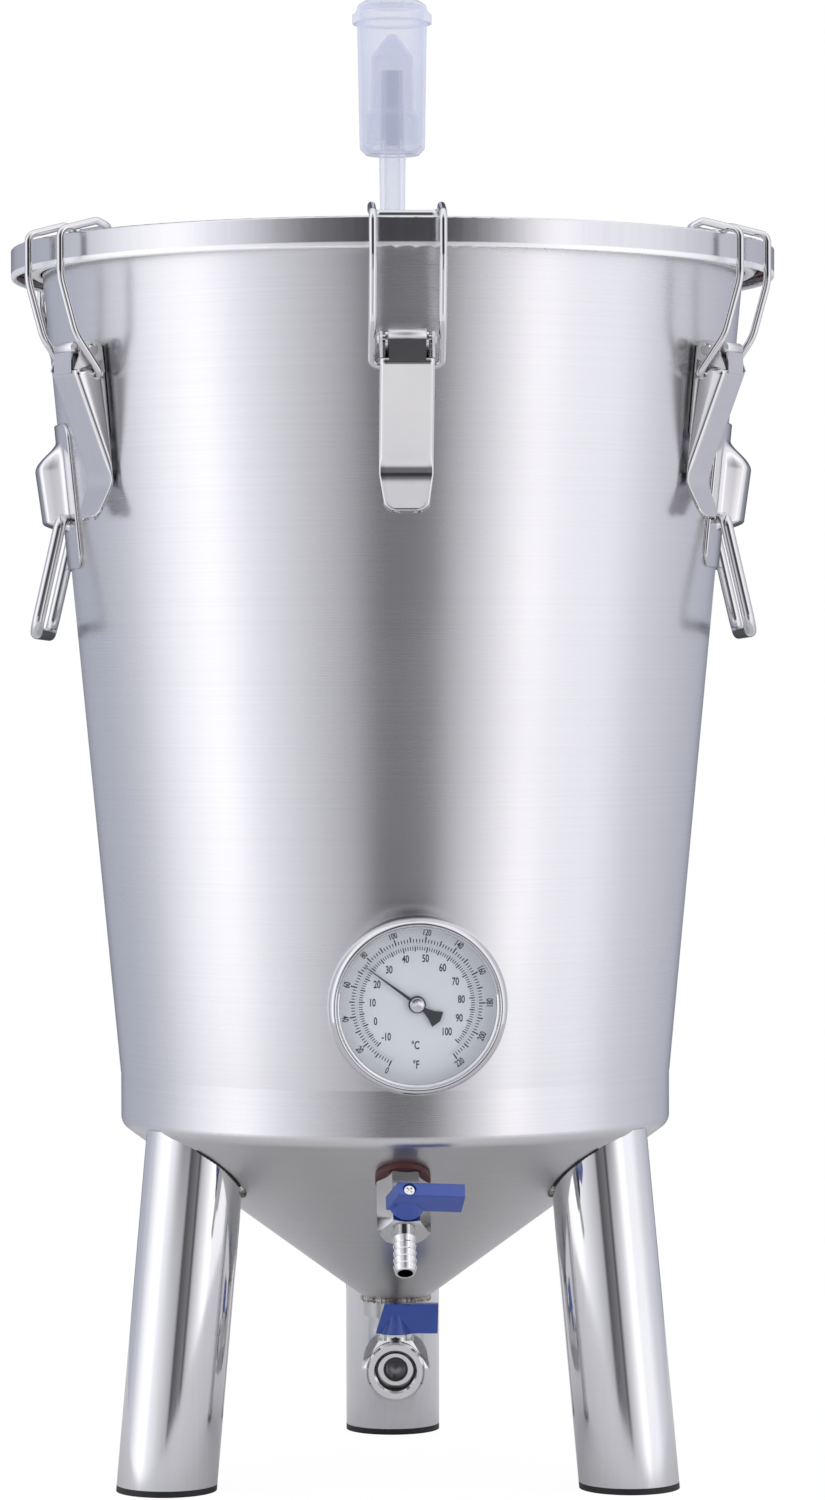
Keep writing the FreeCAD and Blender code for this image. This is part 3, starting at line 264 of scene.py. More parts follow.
def node_group(name, inputs, outputs):
    """An empty shader group with named sockets; inputs are (name, kind, value)."""
    group = bpy.data.node_groups.new(name, "ShaderNodeTree")
    for socket, kind, value in inputs:
        made = group.interface.new_socket(socket, in_out="INPUT", socket_type=kind)
        made.default_value = value
    for socket, kind in outputs:
        group.interface.new_socket(socket, in_out="OUTPUT", socket_type=kind)
    return group, group.nodes.new("NodeGroupInput"), group.nodes.new("NodeGroupOutput")


def noise(tree, scale, detail, roughness):
    """Noise Texture node."""
    made = tree.nodes.new("ShaderNodeTexNoise")
    made.inputs["Scale"].default_value = scale
    made.inputs["Detail"].default_value = detail
    made.inputs["Roughness"].default_value = roughness
    return made


def make_grain():
    """Brushed grain: noise of the position stretched per axis, so that streaks run along the axes that
    are stretched least; it gives a tone, a roughness and a height."""
    group, given, put = node_group("brushed_grain", [
        ("Stretch", "NodeSocketVector", (8.0, 8.0, 2400.0)),
        ("Depth", "NodeSocketFloat", 0.5),
        ("Base Roughness", "NodeSocketFloat", 0.25),
    ], [("Tone", "NodeSocketFloat"), ("Roughness", "NodeSocketFloat"), ("Height", "NodeSocketFloat")])
    place = group.nodes.new("ShaderNodeTexCoord")
    stretch = group.nodes.new("ShaderNodeVectorMath")
    stretch.operation = "MULTIPLY"
    fine = noise(group, 1.0, 2.0, 0.6)
    broad = noise(group, 0.16, 3.0, 0.6)
    blotch = noise(group, 9.0, 3.0, 0.5)
    tone_fine = remap(group, 0.3, 0.7, 0.985, 1.012)
    tone_broad = remap(group, 0.3, 0.7, 0.982, 1.016)
    tone = maths(group, "MULTIPLY")
    rough_fine = remap(group, 0.3, 0.7, -0.01, 0.01)
    rough_blotch = remap(group, 0.35, 0.65, -0.02, 0.025)
    rough = maths(group, "ADD")
    rough_all = maths(group, "ADD")
    height = maths(group, "MULTIPLY")
    link(group, [
        (place.outputs["Object"], stretch.inputs[0]),
        (given.outputs["Stretch"], stretch.inputs[1]),
        (stretch.outputs[0], fine.inputs["Vector"]),
        (stretch.outputs[0], broad.inputs["Vector"]),
        (place.outputs["Object"], blotch.inputs["Vector"]),
        (fine.outputs[0], tone_fine.inputs["Value"]),
        (broad.outputs[0], tone_broad.inputs["Value"]),
        (tone_fine.outputs[0], tone.inputs[0]),
        (tone_broad.outputs[0], tone.inputs[1]),
        (tone.outputs[0], put.inputs["Tone"]),
        (fine.outputs[0], rough_fine.inputs["Value"]),
        (blotch.outputs[0], rough_blotch.inputs["Value"]),
        (rough_fine.outputs[0], rough.inputs[0]),
        (rough_blotch.outputs[0], rough.inputs[1]),
        (rough.outputs[0], rough_all.inputs[0]),
        (given.outputs["Base Roughness"], rough_all.inputs[1]),
        (rough_all.outputs[0], put.inputs["Roughness"]),
        (fine.outputs[0], height.inputs[0]),
        (given.outputs["Depth"], height.inputs[1]),
        (height.outputs[0], put.inputs["Height"]),
    ])
    return group


GRAIN = make_grain()


def material(name, colour, metallic=0.0, roughness=0.4):
    """A new material; returns it with its tree and its Principled shader."""
    made = bpy.data.materials.new(name)
    made.use_nodes = True
    shader = made.node_tree.nodes["Principled BSDF"]
    shader.inputs["Base Color"].default_value = (*colour, 1.0)
    shader.inputs["Metallic"].default_value = metallic
    shader.inputs["Roughness"].default_value = roughness
    return made, made.node_tree, shader


def bumped(tree, height, shader, strength, distance=0.0001):
    """Feed a height into a Bump node and on into the shader's normal."""
    bump = tree.nodes.new("ShaderNodeBump")
    bump.inputs["Strength"].default_value = strength
    bump.inputs["Distance"].default_value = distance
    link(tree, [(height, bump.inputs["Height"]), (bump.outputs[0], shader.inputs["Normal"])])


def grained(tree, stretch, depth=None, roughness=None):
    """The grain group placed in a material with its own values."""
    grain = tree.nodes.new("ShaderNodeGroup")
    grain.node_tree = GRAIN
    grain.inputs["Stretch"].default_value = stretch
    if depth is not None:
        grain.inputs["Depth"].default_value = depth
    if roughness is not None:
        grain.inputs["Base Roughness"].default_value = roughness
    return grain


def brushed(name, colour, stretch, roughness, depth, strength):
    """Metal with the grain's tone, roughness and bump."""
    made, tree, shader = material(name, colour, 1.0)
    grain = grained(tree, stretch, depth, roughness)
    tone = blend(tree, None, "MULTIPLY")
    tone.inputs["A"].default_value = (*colour, 1.0)
    link(tree, [
        (grain.outputs["Tone"], tone.inputs["B"]),
        (tone.outputs["Result"], shader.inputs["Base Color"]),
        (grain.outputs["Roughness"], shader.inputs["Roughness"]),
    ])
    bumped(tree, grain.outputs["Height"], shader, strength)
    return made


def finish_node(finish, *names):
    """Give CAD nodes a material in every slot."""
    for name in names:
        slots = cad[name].data.materials
        if not slots:
            slots.append(finish)
        for i in range(len(slots)):
            slots[i] = finish


def shell(name, points, faces, *finishes, smooth=True):
    """A mesh object at the origin from points in millimetres in the part's own frame."""
    mesh = bpy.data.meshes.new(name)
    mesh.from_pydata((np.asarray(points, float) * MM).tolist(), [], faces)
    made = bpy.data.objects.new(name, mesh)
    bpy.context.collection.objects.link(made)
    for one in finishes:
        mesh.materials.append(one)
    if smooth:
        mesh.polygons.foreach_set("use_smooth", [True] * len(mesh.polygons))
    mesh.update()
    return made


def grid_faces(rows, columns, round_rows=False, round_columns=False):
    """Quads of a grid of points stored row by row, closed on itself where asked."""
    faces = []
    for i in range(rows if round_rows else rows - 1):
        for j in range(columns if round_columns else columns - 1):
            k, m = (i + 1) % rows, (j + 1) % columns
            faces.append((i * columns + j, i * columns + m, k * columns + m, k * columns + j))
    return faces


def placed(points, matrix):
    """Points in millimetres moved by a 4 x 4 matrix."""
    points = np.asarray(points, float)
    return points @ np.array(matrix.to_3x3()).T + np.array(matrix.translation)


def around(degrees):
    """Turn about the tank's axis that brings +X to this direction, counted from the front to +X."""
    return Matrix.Rotation(math.radians(degrees - 90), 4, "Z")


wall_steel = brushed("wall_steel", (0.74, 0.74, 0.755), (9.0, 9.0, 5200.0),
                     roughness=0.26, depth=0.3, strength=0.005)
lid_steel = brushed("lid_steel", (0.70, 0.70, 0.72), (1500.0, 1500.0, 30.0),
                    roughness=0.2, depth=0.5, strength=0.04)
HEM_TOP = 0.5846
HEM_ROUGHNESS = 0.5


def brighten_hem(tree, shader):
    """Painted highlight: lighter metal along the rolled lower edge of the lid's skirt, standing for the
    bright line the hem catches; duller there too.
    """
    place = tree.nodes.new("ShaderNodeTexCoord")
    split = tree.nodes.new("ShaderNodeSeparateXYZ")
    below = remap(tree, HEM_TOP + 0.0004, HEM_TOP - 0.0002)
    tone = blend(tree, (1.0, 1.0, 1.0))
    rough = tree.nodes.new("ShaderNodeMix")
    rough.inputs["B"].default_value = HEM_ROUGHNESS
    tone_from = shader.inputs["Base Color"].links[0].from_socket
    rough_from = shader.inputs["Roughness"].links[0].from_socket
    link(tree, [
        (place.outputs["Object"], split.inputs[0]),
        (split.outputs["Z"], below.inputs["Value"]),
        (below.outputs[0], tone.inputs["Factor"]),
        (below.outputs[0], rough.inputs["Factor"]),
        (tone_from, tone.inputs["A"]),
        (rough_from, rough.inputs["A"]),
        (tone.outputs["Result"], shader.inputs["Base Color"]),
        (rough.outputs["Result"], shader.inputs["Roughness"]),
    ])


# the hem's lighter colour is a painted highlight; its higher roughness is the hem's own finish
brighten_hem(lid_steel.node_tree, lid_steel.node_tree.nodes["Principled BSDF"])
finish_node(wall_steel, "tank_wall")
finish_node(lid_steel, "lid", "tank_rim")

# --- Cone bottom --------------------------------------------------------------------------------
# Pressed from the same sheet as the wall and butt-welded to it at the collar, then ground and left
# satin. Above the crease it is brushed like the wall; below, fine polishing rings run round it.

CREASE = 0.171
CONE_TONE, COLLAR_TONE = (0.68, 0.68, 0.67), (0.73, 0.73, 0.745)
CONE_ROUGHNESS, COLLAR_ROUGHNESS = 0.36, 0.26


def make_cone_steel():
    """Brushed metal whose colour and roughness change over at the crease."""
    made, tree, shader = material("cone_steel", CONE_TONE, 1.0)
    grain = grained(tree, (14.0, 14.0, 3600.0))
    place = tree.nodes.new("ShaderNodeTexCoord")
    split = tree.nodes.new("ShaderNodeSeparateXYZ")
    above = remap(tree, CREASE - 0.003, CREASE + 0.004)
    rough = remap(tree, 0.0, 1.0, CONE_ROUGHNESS, COLLAR_ROUGHNESS)
    tone = blend(tree, COLLAR_TONE)
    tone.inputs["A"].default_value = (*CONE_TONE, 1.0)
    mix = blend(tree, None, "MULTIPLY")
    link(tree, [
        (place.outputs["Object"], split.inputs[0]),
        (split.outputs["Z"], above.inputs["Value"]),
        (above.outputs[0], rough.inputs["Value"]),
        (rough.outputs[0], grain.inputs["Base Roughness"]),
        (above.outputs[0], tone.inputs["Factor"]),
        (tone.outputs["Result"], mix.inputs["A"]),
        (grain.outputs["Tone"], mix.inputs["B"]),
        (mix.outputs["Result"], shader.inputs["Base Color"]),
        (grain.outputs["Roughness"], shader.inputs["Roughness"]),
    ])
    bumped(tree, grain.outputs["Height"], shader, 0.03)
    return made


finish_node(make_cone_steel(), "tank_cone")

# --- Polished tube and wire ---------------------------------------------------------------------
# Legs are mirror-polished tube; bails and carrying handles are bent from polished round wire; the
# bases, pins, levers and brackets are pressed sheet, tumbled bright.

polished = brushed("polished_steel", (0.80, 0.80, 0.81), (900.0, 900.0, 14.0),
                   roughness=0.08, depth=0.4, strength=0.015)
finish_node(polished, "leg_left", "leg_right", "leg_rear")
wire = brushed("wire_steel", (0.70, 0.70, 0.71), (160.0, 160.0, 160.0),
               roughness=0.03, depth=0.2, strength=0.004)
pressed = brushed("pressed_steel", (0.72, 0.715, 0.725), (140.0, 140.0, 140.0),
                  roughness=0.13, depth=0.3, strength=0.02)
# Lighter, rougher copy of the pressed steel for the lever rolls and ears: the roughness is their duller
# finish, the lighter colour a painted highlight for the bright roll.
satin_and_highlight = brushed("satin_steel", (0.84, 0.84, 0.85), (140.0, 140.0, 140.0),
                roughness=0.42, depth=0.3, strength=0.02)
finish_node(wire, "latch_pins", "handle_grip_left", "handle_grip_right")
finish_node(pressed, "latch_bases", "handle_bracket_left", "handle_bracket_right")
for number in range(1, 7):
    finish_node(wire, f"latch_bail_{number}")
    finish_node(pressed, f"latch_lever_{number}")

# --- Latch levers -------------------------------------------------------------------------------
# Pressed channels of 1.2 mm sheet: a web with rounded edges, cheeks that taper to nothing, two ears
# on the pivot pin, a neck rolled into a bar, and a kicked-out thumb tab with rounded corners.

LATCH_YAW = 2.3
LEVER_HALF = 12.5
LEVER_SHEET = 1.2
LEVER_TOP = (183.4, 532.0)
LEVER_BEND = (163.3, 481.0)
LEVER_END = (170.6, 464.0)
CHEEK_TOP_DEPTH, CHEEK_LEAST = 15.6, 0.8
LEVER_CORNER = 2.3
BEND_EASE = 4.5
TAB_NARROWING = 2.6
TAB_ROUND, TAB_ROUND_FROM = 4.2, 0.24
NECK_HALF = 8.5
ROLL_CENTRE, ROLL_RADIUS, ROLL_HALF, ROLL_CHAMFER = (181.0, 543.2), 2.7, 8.7, 0.4
EAR = [(167.6, 531.6), (169.0, 543.0), (169.9, 545.2), (171.6, 546.4), (174.0, 546.7), (176.4, 546.3),
       (178.6, 544.8), (180.2, 541.6), (183.3, 532.6)]


def lever_web():
    """Channel: at each step down the web's line (straight, eased round the bend, then out along the tab)
    the section is a U whose corners are quarter circles and whose cheeks shrink to the bend."""
    top, bend, end = (np.array(point) for point in (LEVER_TOP, LEVER_BEND, LEVER_END))
    before = bend + (top - bend) / np.linalg.norm(top - bend) * BEND_EASE
    after = bend + (end - bend) / np.linalg.norm(end - bend) * BEND_EASE
    line = [top + (before - top) * t for t in np.linspace(0, 1, 18)]
    line += [(1 - t) ** 2 * before + 2 * t * (1 - t) * bend + t * t * after
             for t in np.linspace(0, 1, 12)[1:]]
    line += [after + (end - after) * t for t in np.linspace(0, 1, 14)[1:]]
    line = np.array(line)
    step = np.gradient(line, axis=0)
    step /= np.linalg.norm(step, axis=1)[:, None]
    inward = np.column_stack([step[:, 1], -step[:, 0]])
    inward *= -np.sign(inward[:, :1] + 1e-9)
    points = []
    drop = (top[1] - line[:, 1]) / (top[1] - bend[1])
    for i, point in enumerate(line):
        past = max(0.0, (bend[1] - point[1]) / (bend[1] - end[1]))
        depth = max(CHEEK_LEAST, CHEEK_TOP_DEPTH * (1 - drop[i]))
        corner = min(LEVER_CORNER, depth)
        rounding = TAB_ROUND * max(0.0, 1 - (1.0 - past) / TAB_ROUND_FROM) ** 2.2
        half = LEVER_HALF - TAB_NARROWING * past - rounding
        section = [(-half, depth + (corner - depth) * t) for t in np.linspace(0, 1, 5)]
        section += [(-half + corner * (1 - math.cos(t)), corner * (1 - math.sin(t)))
                    for t in np.linspace(0, math.pi / 2, 7)[1:]]
        section += [(-half + corner + (half - corner) * t, 0.0) for t in np.linspace(0, 1, 6)[1:]]
        section += [(-across, deep) for across, deep in section[-2::-1]]
        for across, deep in section:
            spot = point + inward[i] * deep
            points.append((spot[0], across, spot[1]))
    columns = len(points) // len(line)
    return points, grid_faces(len(line), columns)


def lever_neck():
    """Flat strip that leaves the web and rises to the roll."""
    rises = ((183.4, 531.0), (183.5, 541.0))
    return [(out, y, up) for out, up in rises for y in (-NECK_HALF, NECK_HALF)], [(0, 1, 3, 2)]


def lever_roll():
    """Round bar rolled at the top of the neck: a circle carried straight across, closed at both ends."""
    steps = 40
    edge, small = ROLL_HALF - ROLL_CHAMFER, ROLL_RADIUS - ROLL_CHAMFER
    rings = ((-ROLL_HALF, small), (-edge, ROLL_RADIUS), (edge, ROLL_RADIUS), (ROLL_HALF, small))
    points = []
    for y, radius in rings:
        for turn in np.linspace(0, 2 * math.pi, steps, endpoint=False):
            out, up = radius * math.cos(turn), radius * math.sin(turn)
            points.append((ROLL_CENTRE[0] + out, y, ROLL_CENTRE[1] + up))
    faces = grid_faces(len(rings), steps, round_columns=True)
    last = (len(rings) - 1) * steps
    return points, faces + [tuple(range(steps))[::-1], tuple(range(last, last + steps))]


def lever_ears():
    """Two flat ears: one outline repeated on both faces of each sheet."""
    points, faces = [], []
    count = len(EAR)
    for side in (-1, 1):
        for depth in (0.0, LEVER_SHEET):
            points += [(out, side * (LEVER_HALF - depth), up) for out, up in EAR]
    for start in (0, 2 * count):
        front = tuple(range(start, start + count))
        back = tuple(range(start + count, start + 2 * count))
        faces.append(front if start == 0 else front[::-1])
        faces.append(back[::-1] if start == 0 else back)
        for i in range(count):
            j = (i + 1) % count
            quad = (start + i, start + j, start + count + j, start + count + i)
            faces.append(quad[::-1] if start == 0 else quad)
    return points, faces


def thickened(made, thickness):
    """Sheet thickness, laid inwards from the modelled face."""
    sheet = made.modifiers.new("sheet", "SOLIDIFY")
    sheet.thickness = thickness * MM
    sheet.offset = -1.0
    sheet.use_even_offset = True


def outward(made, middle):
    """Turn the faces of an open sheet so that they look away from a point in millimetres."""
    mesh = made.data
    centre = Vector(middle) * MM
    score = sum((face.center - centre).dot(face.normal) * face.area for face in mesh.polygons)
    if score < 0:
        mesh.flip_normals()


for number in range(1, 7):
    turn = around(LATCH_YAW + 60 * (number - 1))
    middle = placed([(165.0, 0.0, 505.0)], turn)[0]
    sheets = (("web", lever_web(), True), ("neck", lever_neck(), False), ("roll", lever_roll(), True),
              ("ears", lever_ears(), False))
    for label, (points, faces), smooth in sheets:
        # roll and ears take the lighter steel: painted highlight
        finish = satin_and_highlight if label in ("roll", "ears") else pressed
        piece = shell(f"lever_{number}_{label}", placed(points, turn), faces, finish, smooth=smooth)
        if label in ("web", "neck"):
            outward(piece, middle)
            thickened(piece, LEVER_SHEET)
        elif label == "roll":
            outward(piece, placed([(ROLL_CENTRE[0], 0.0, ROLL_CENTRE[1])], turn)[0])
        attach(piece, f"lever_{number}")
    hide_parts(f"latch_lever_{number}")

# --- Thermometer --------------------------------------------------------------------------------
# Three-inch bimetal dial: spun steel case, rolled rim, flat glass, printed white dial and a black
# pointer. Black print: Fahrenheit outside, Celsius inside, a pale double ring between them.

DIAL_AZIMUTH = 4.0
DIAL_HEIGHT = 239.0
WALL_FOOT, WALL_MOUTH = (134.5, 196.0), (171.0, 582.0)
WALL_SLOPE = (WALL_MOUTH[0] - WALL_FOOT[0]) / (WALL_MOUTH[1] - WALL_FOOT[1])
DIAL_FACE = 14.6


def wall_radius(height):
    """Outside radius of the tapered wall, in millimetres."""
    return WALL_FOOT[0] + (height - WALL_FOOT[1]) * WALL_SLOPE


def fitting(azimuth, radius, height, tilt):
    """Frame of a fitting: its X to the right, Y up the face, Z out of the tank."""
    turn = Matrix.Rotation(math.radians(azimuth), 4, "Z")
    face = Matrix.Rotation(math.radians(90 + tilt), 4, "X")
    return turn @ Matrix.Translation((0, -radius, height)) @ face


dial_frame = fitting(DIAL_AZIMUTH, wall_radius(DIAL_HEIGHT), DIAL_HEIGHT, math.degrees(math.atan(WALL_SLOPE)))


def lathe(profile, steps=128):
    """Profile of (radius, height) pairs turned right round the local Z axis."""
    points = []
    for turn in np.linspace(0, 2 * math.pi, steps, endpoint=False):
        points += [(r * math.cos(turn), r * math.sin(turn), z) for r, z in profile]
    return points, grid_faces(steps, len(profile), round_rows=True)


RIM = [(38.7, 13.9), (40.6, 13.9), (41.2, 14.3), (41.45, 15.0), (41.5, 16.0), (41.5, 20.4), (41.42, 21.8),
       (41.1, 23.2), (40.6, 24.4), (39.9, 25.4), (39.2, 26.0), (38.5, 26.2), (37.9, 26.0), (37.5, 25.4),
       (37.2, 24.5), (36.9, 24.2), (36.3, 23.9), (36.05, 23.4), (36.0, 22.6), (36.0, 21.4), (38.7, 21.4)]


def smooth_line(points):
    """Cut every corner of an open line at a quarter and three quarters, keeping its two ends."""
    line = np.array(points, float)
    low = line[:-1] * 0.75 + line[1:] * 0.25
    high = line[:-1] * 0.25 + line[1:] * 0.75
    middle = np.stack([low, high], axis=1).reshape(-1, line.shape[1])
    return np.vstack([line[:1], middle, line[-1:]])


rim_points, rim_faces = lathe(smooth_line(RIM + RIM[:1])[:-1].tolist())
rim = shell("thermometer_bezel", placed(rim_points, dial_frame), rim_faces, wire)
outward(rim, placed([(0, 0, 20)], dial_frame)[0])
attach(rim, "tank")
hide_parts("thermometer_rim")

ink, _, _ = material("dial_ink", (0.012, 0.013, 0.018), 0.0, 0.45)
pale_ink, _, _ = material("dial_ring_ink", (0.55, 0.58, 0.64), 0.0, 0.5)
FAHRENHEIT_START = -156.0
FAHRENHEIT_STEP = 1.3636
PRINT_LIFT, RING_LIFT = 0.06, 0.04
# inner radius, outer radii of the twentieth, tenth and other bars, and widths of tenth and other bars
F_TICKS = (28.6, (31.6, 31.2, 30.3), (0.6, 0.42))
# outer radius, inner radii of the tenth, fifth and other bars, and widths of fifth and other bars
C_TICKS = (26.8, (24.2, 24.5, 25.0), (0.56, 0.38))
F_NUMERAL, F_NUMERAL_REACH = 2.9, 33.6
C_NUMERAL, C_NUMERAL_REACH, C_NUMERAL_REACH_TOP, C_LAST_REACH = 3.4, 20.6, 21.6, 18.8
UNIT_HEIGHT, C_UNIT_PLACE, F_UNIT_PLACE = 3.6, (-0.6, -19.0), (-0.3, -28.0)
LETTER_NARROWING, LETTER_WEIGHT, CAPITAL_SHARE = 0.66, 0.02, 0.69


def dial_angle(fahrenheit):
    """Angle clockwise from the top, in radians."""
    return math.radians(FAHRENHEIT_START + FAHRENHEIT_STEP * fahrenheit)


def tick(angle, inner, outer, width):
    """Four corners of a radial bar on the dial."""
    way = np.array((math.sin(angle), math.cos(angle)))
    side = np.array((way[1], -way[0])) * width / 2
    corners = (way * inner + side, way * outer + side, way * outer - side, way * inner - side)
    return [(*corner, 0) for corner in corners]


def dial_ticks():
    """Bars at equal angles; longer and thicker at each fifth and tenth."""
    corners = []
    inner, (twentieth, tenth, other), (thick, thin) = F_TICKS
    for degree in range(0, 221, 2):
        outer = twentieth if degree % 20 == 0 else tenth if degree % 10 == 0 else other
        corners += tick(dial_angle(degree), inner, outer, thick if degree % 10 == 0 else thin)
    outer, (tenth, fifth, other), (thick, thin) = C_TICKS
    for degree in range(-10, 101):
        inner = tenth if degree % 10 == 0 else fifth if degree % 5 == 0 else other
        corners += tick(dial_angle(degree * 1.8 + 32), inner, outer, thick if degree % 5 == 0 else thin)
    return corners, [tuple(range(i, i + 4)) for i in range(0, len(corners), 4)]


def arc_band(inner, outer, start, end, height, steps=120):
    """Flat band between two radii from one angle to another."""
    points = []
    for turn in np.linspace(start, end, steps):
        points += [(radius * math.sin(turn), radius * math.cos(turn), height) for radius in (inner, outer)]
    return points, grid_faces(steps, 2)


def lettering(text, height, place, turn):
    """Flat letters as points and faces: the built-in letter outlines, narrowed, turned and moved."""
    curve = bpy.data.curves.new("letters", "FONT")
    curve.body = text
    curve.size = height / CAPITAL_SHARE
    curve.offset = LETTER_WEIGHT * curve.size
    curve.align_x = "CENTER"
    curve.align_y = "CENTER"
    holder = bpy.data.objects.new("letters", curve)
    bpy.context.collection.objects.link(holder)
    mesh = bpy.data.meshes.new_from_object(holder)
    points = np.array([(v.co.x * LETTER_NARROWING, v.co.y, 0) for v in mesh.vertices])
    faces = [tuple(face.vertices) for face in mesh.polygons]
    bpy.data.objects.remove(holder)
    bpy.data.curves.remove(curve)
    bpy.data.meshes.remove(mesh)
    points[:, 1] -= (points[:, 1].max() + points[:, 1].min()) / 2
    spin = Matrix.Rotation(-turn, 4, "Z")
    return placed(points, spin) + np.array((*place, 0.0)), faces


def dial_print():
    """Everything black on the dial, laid a hair above its face."""
    points, faces = dial_ticks()
    points = [tuple(point) for point in points]
    labels = []
    for degree in range(-10, 101, 10):
        angle = dial_angle(degree * 1.8 + 32)
        reach = C_NUMERAL_REACH if abs(math.sin(angle)) > 0.3 else C_NUMERAL_REACH_TOP
        if degree == 100:
            reach = C_LAST_REACH
        labels.append((str(degree), C_NUMERAL, (reach * math.sin(angle), reach * math.cos(angle)), 0.0))
    for degree in range(0, 221, 20):
        angle = dial_angle(degree)
        turn = angle + (math.pi if abs(angle) > math.radians(89.0) else 0)
        place = (F_NUMERAL_REACH * math.sin(angle), F_NUMERAL_REACH * math.cos(angle))
        labels.append((str(degree), F_NUMERAL, place, turn))
    labels.append(("\u00b0C", UNIT_HEIGHT, C_UNIT_PLACE, 0.0))
    labels.append(("\u00b0F", UNIT_HEIGHT, F_UNIT_PLACE, 0.0))
    for text, height, place, turn in labels:
        more, shapes = lettering(text, height, place, turn)
        start = len(points)
        points += [tuple(point) for point in more]
        faces += [tuple(start + i for i in shape) for shape in shapes]
    return [(x, y, DIAL_FACE + PRINT_LIFT) for x, y, _ in points], faces


print_points, print_faces = dial_print()
print_piece = shell("dial_print", placed(print_points, dial_frame), print_faces, ink, smooth=False)
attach(print_piece, "tank")
for low, high in ((27.25, 27.4), (28.0, 28.15)):
    ring_points, ring_faces = arc_band(low, high, dial_angle(-2), dial_angle(222), DIAL_FACE + RING_LIFT)
    ring = shell(f"dial_ring_{int(low * 10)}", placed(ring_points, dial_frame), ring_faces, pale_ink,
                 smooth=False)
    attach(ring, "tank")

dial, _, _ = material("dial_face", (0.94, 0.975, 1.0), 0.0, 0.6)
finish_node(dial, "thermometer_dial")
HUB = [(0.01, 18.35), (0.5, 18.35), (0.55, 18.2), (2.9, 18.2), (3.3, 18.0), (3.4, 17.7), (3.4, 17.5)]
hub_points, hub_faces = lathe(HUB, 64)
hub = shell("pointer_cap", placed(hub_points, dial_frame), hub_faces, pressed)
outward(hub, placed([(0, 0, 17.0)], dial_frame)[0])
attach(hub, "pointer")
pointer_paint, _, _ = material("pointer_paint", (0.012, 0.012, 0.015), 0.0, 0.35)
finish_node(pointer_paint, "thermometer_pointer")
EDGE_BLEND = 0.3


def clear_sheet(name, colour, roughness, face_on, edge_on):
    """See-through plastic or glass: a share that shows as itself, growing from face on to edge on."""
    made, tree, shader = material(name, colour, 0.0, roughness)
    edge = tree.nodes.new("ShaderNodeLayerWeight")
    edge.inputs["Blend"].default_value = EDGE_BLEND
    part = remap(tree, 0.0, 1.0, face_on, edge_on)
    link(tree, [
        (edge.outputs["Facing"], part.inputs["Value"]),
        (part.outputs[0], shader.inputs["Alpha"]),
    ])
    return made


dial_glass = clear_sheet("dial_glass", (0.9, 0.95, 1.0), roughness=0.03, face_on=0.03, edge_on=0.25)
finish_node(dial_glass, "thermometer_glass")
finish_node(pressed, "thermometer_case", "thermometer_stem", "thermometer_locknut")

# --- Silicone and plugs -------------------------------------------------------------------------
# Gasket, grommet and washers are dark red-brown silicone; the leg ends have black moulded plugs.

rubber, _, _ = material("silicone", (0.115, 0.038, 0.036), 0.0, 0.5)
finish_node(rubber, "lid_gasket", "airlock_grommet", "thermometer_washer", "racking_valve_washer")
black, _, _ = material("plug_plastic", (0.012, 0.012, 0.014), 0.0, 0.5)
finish_node(black, "foot_cap_left", "foot_cap_right", "foot_cap_rear")

# --- Valves -------------------------------------------------------------------------------------
# Turned and chamfered hexagon stainless bodies, polished; dipped blue vinyl on the handles softens
# every edge; a cross-head screw holds each one.

valve_steel = brushed("valve_steel", (0.74, 0.74, 0.74), (90.0, 90.0, 90.0),
                      roughness=0.07, depth=0.3, strength=0.02)
finish_node(valve_steel, "racking_valve_body", "racking_valve_gland", "racking_valve_stem",
            "racking_valve_screw", "racking_barb", "racking_locknut", "racking_arm", "drain_valve_body",
            "drain_valve_gland", "drain_valve_stem", "drain_valve_screw")
# Valve balls and port threads: the valve steel made near-black, painted shade for the shade inside the bores
# and the port.
bore_steel_painted_shade = brushed("bore_steel_painted_shade", (0.26, 0.26, 0.27), (90.0, 90.0, 90.0),
                     roughness=0.28, depth=0.3, strength=0.02)
finish_node(bore_steel_painted_shade, "racking_valve_ball", "drain_valve_ball")
ptfe, _, _ = material("ptfe", (0.8, 0.8, 0.78), 0.0, 0.5)
finish_node(ptfe, "racking_valve_seats", "drain_valve_seats")
blue, _, blue_shader = material("blue_vinyl", (0.026, 0.08, 0.40), 0.0, 0.3)
blue_shader.inputs["Coat Weight"].default_value = 0.6
blue_shader.inputs["Coat Roughness"].default_value = 0.1
finish_node(blue, "racking_valve_handle", "drain_valve_handle")
DIP_ROUNDING = 0.9 * MM
for name in ("racking_valve_handle", "drain_valve_handle"):
    weld = cad[name].modifiers.new("join", "WELD")
    weld.merge_threshold = 0.00001
    bevel = cad[name].modifiers.new("dip", "BEVEL")
    bevel.width = DIP_ROUNDING
    bevel.segments = 3
    bevel.limit_method = "ANGLE"
    bevel.angle_limit = math.radians(35)
    bevel.harden_normals = True

# --- Outlet elbow and welds ---------------------------------------------------------------------
# Cast elbow, left grey and grainy, welded under the cone with a hand-laid ring of weld; each leg is
# tacked to the cone in two places, and the dark line of the open gap between them is a thin near-black tube:
# painted shadow.

elbow_steel = brushed("elbow_steel", (0.60, 0.60, 0.59), (60.0, 60.0, 60.0),
                      roughness=0.3, depth=0.6, strength=0.15)
finish_node(elbow_steel, "outlet_elbow")

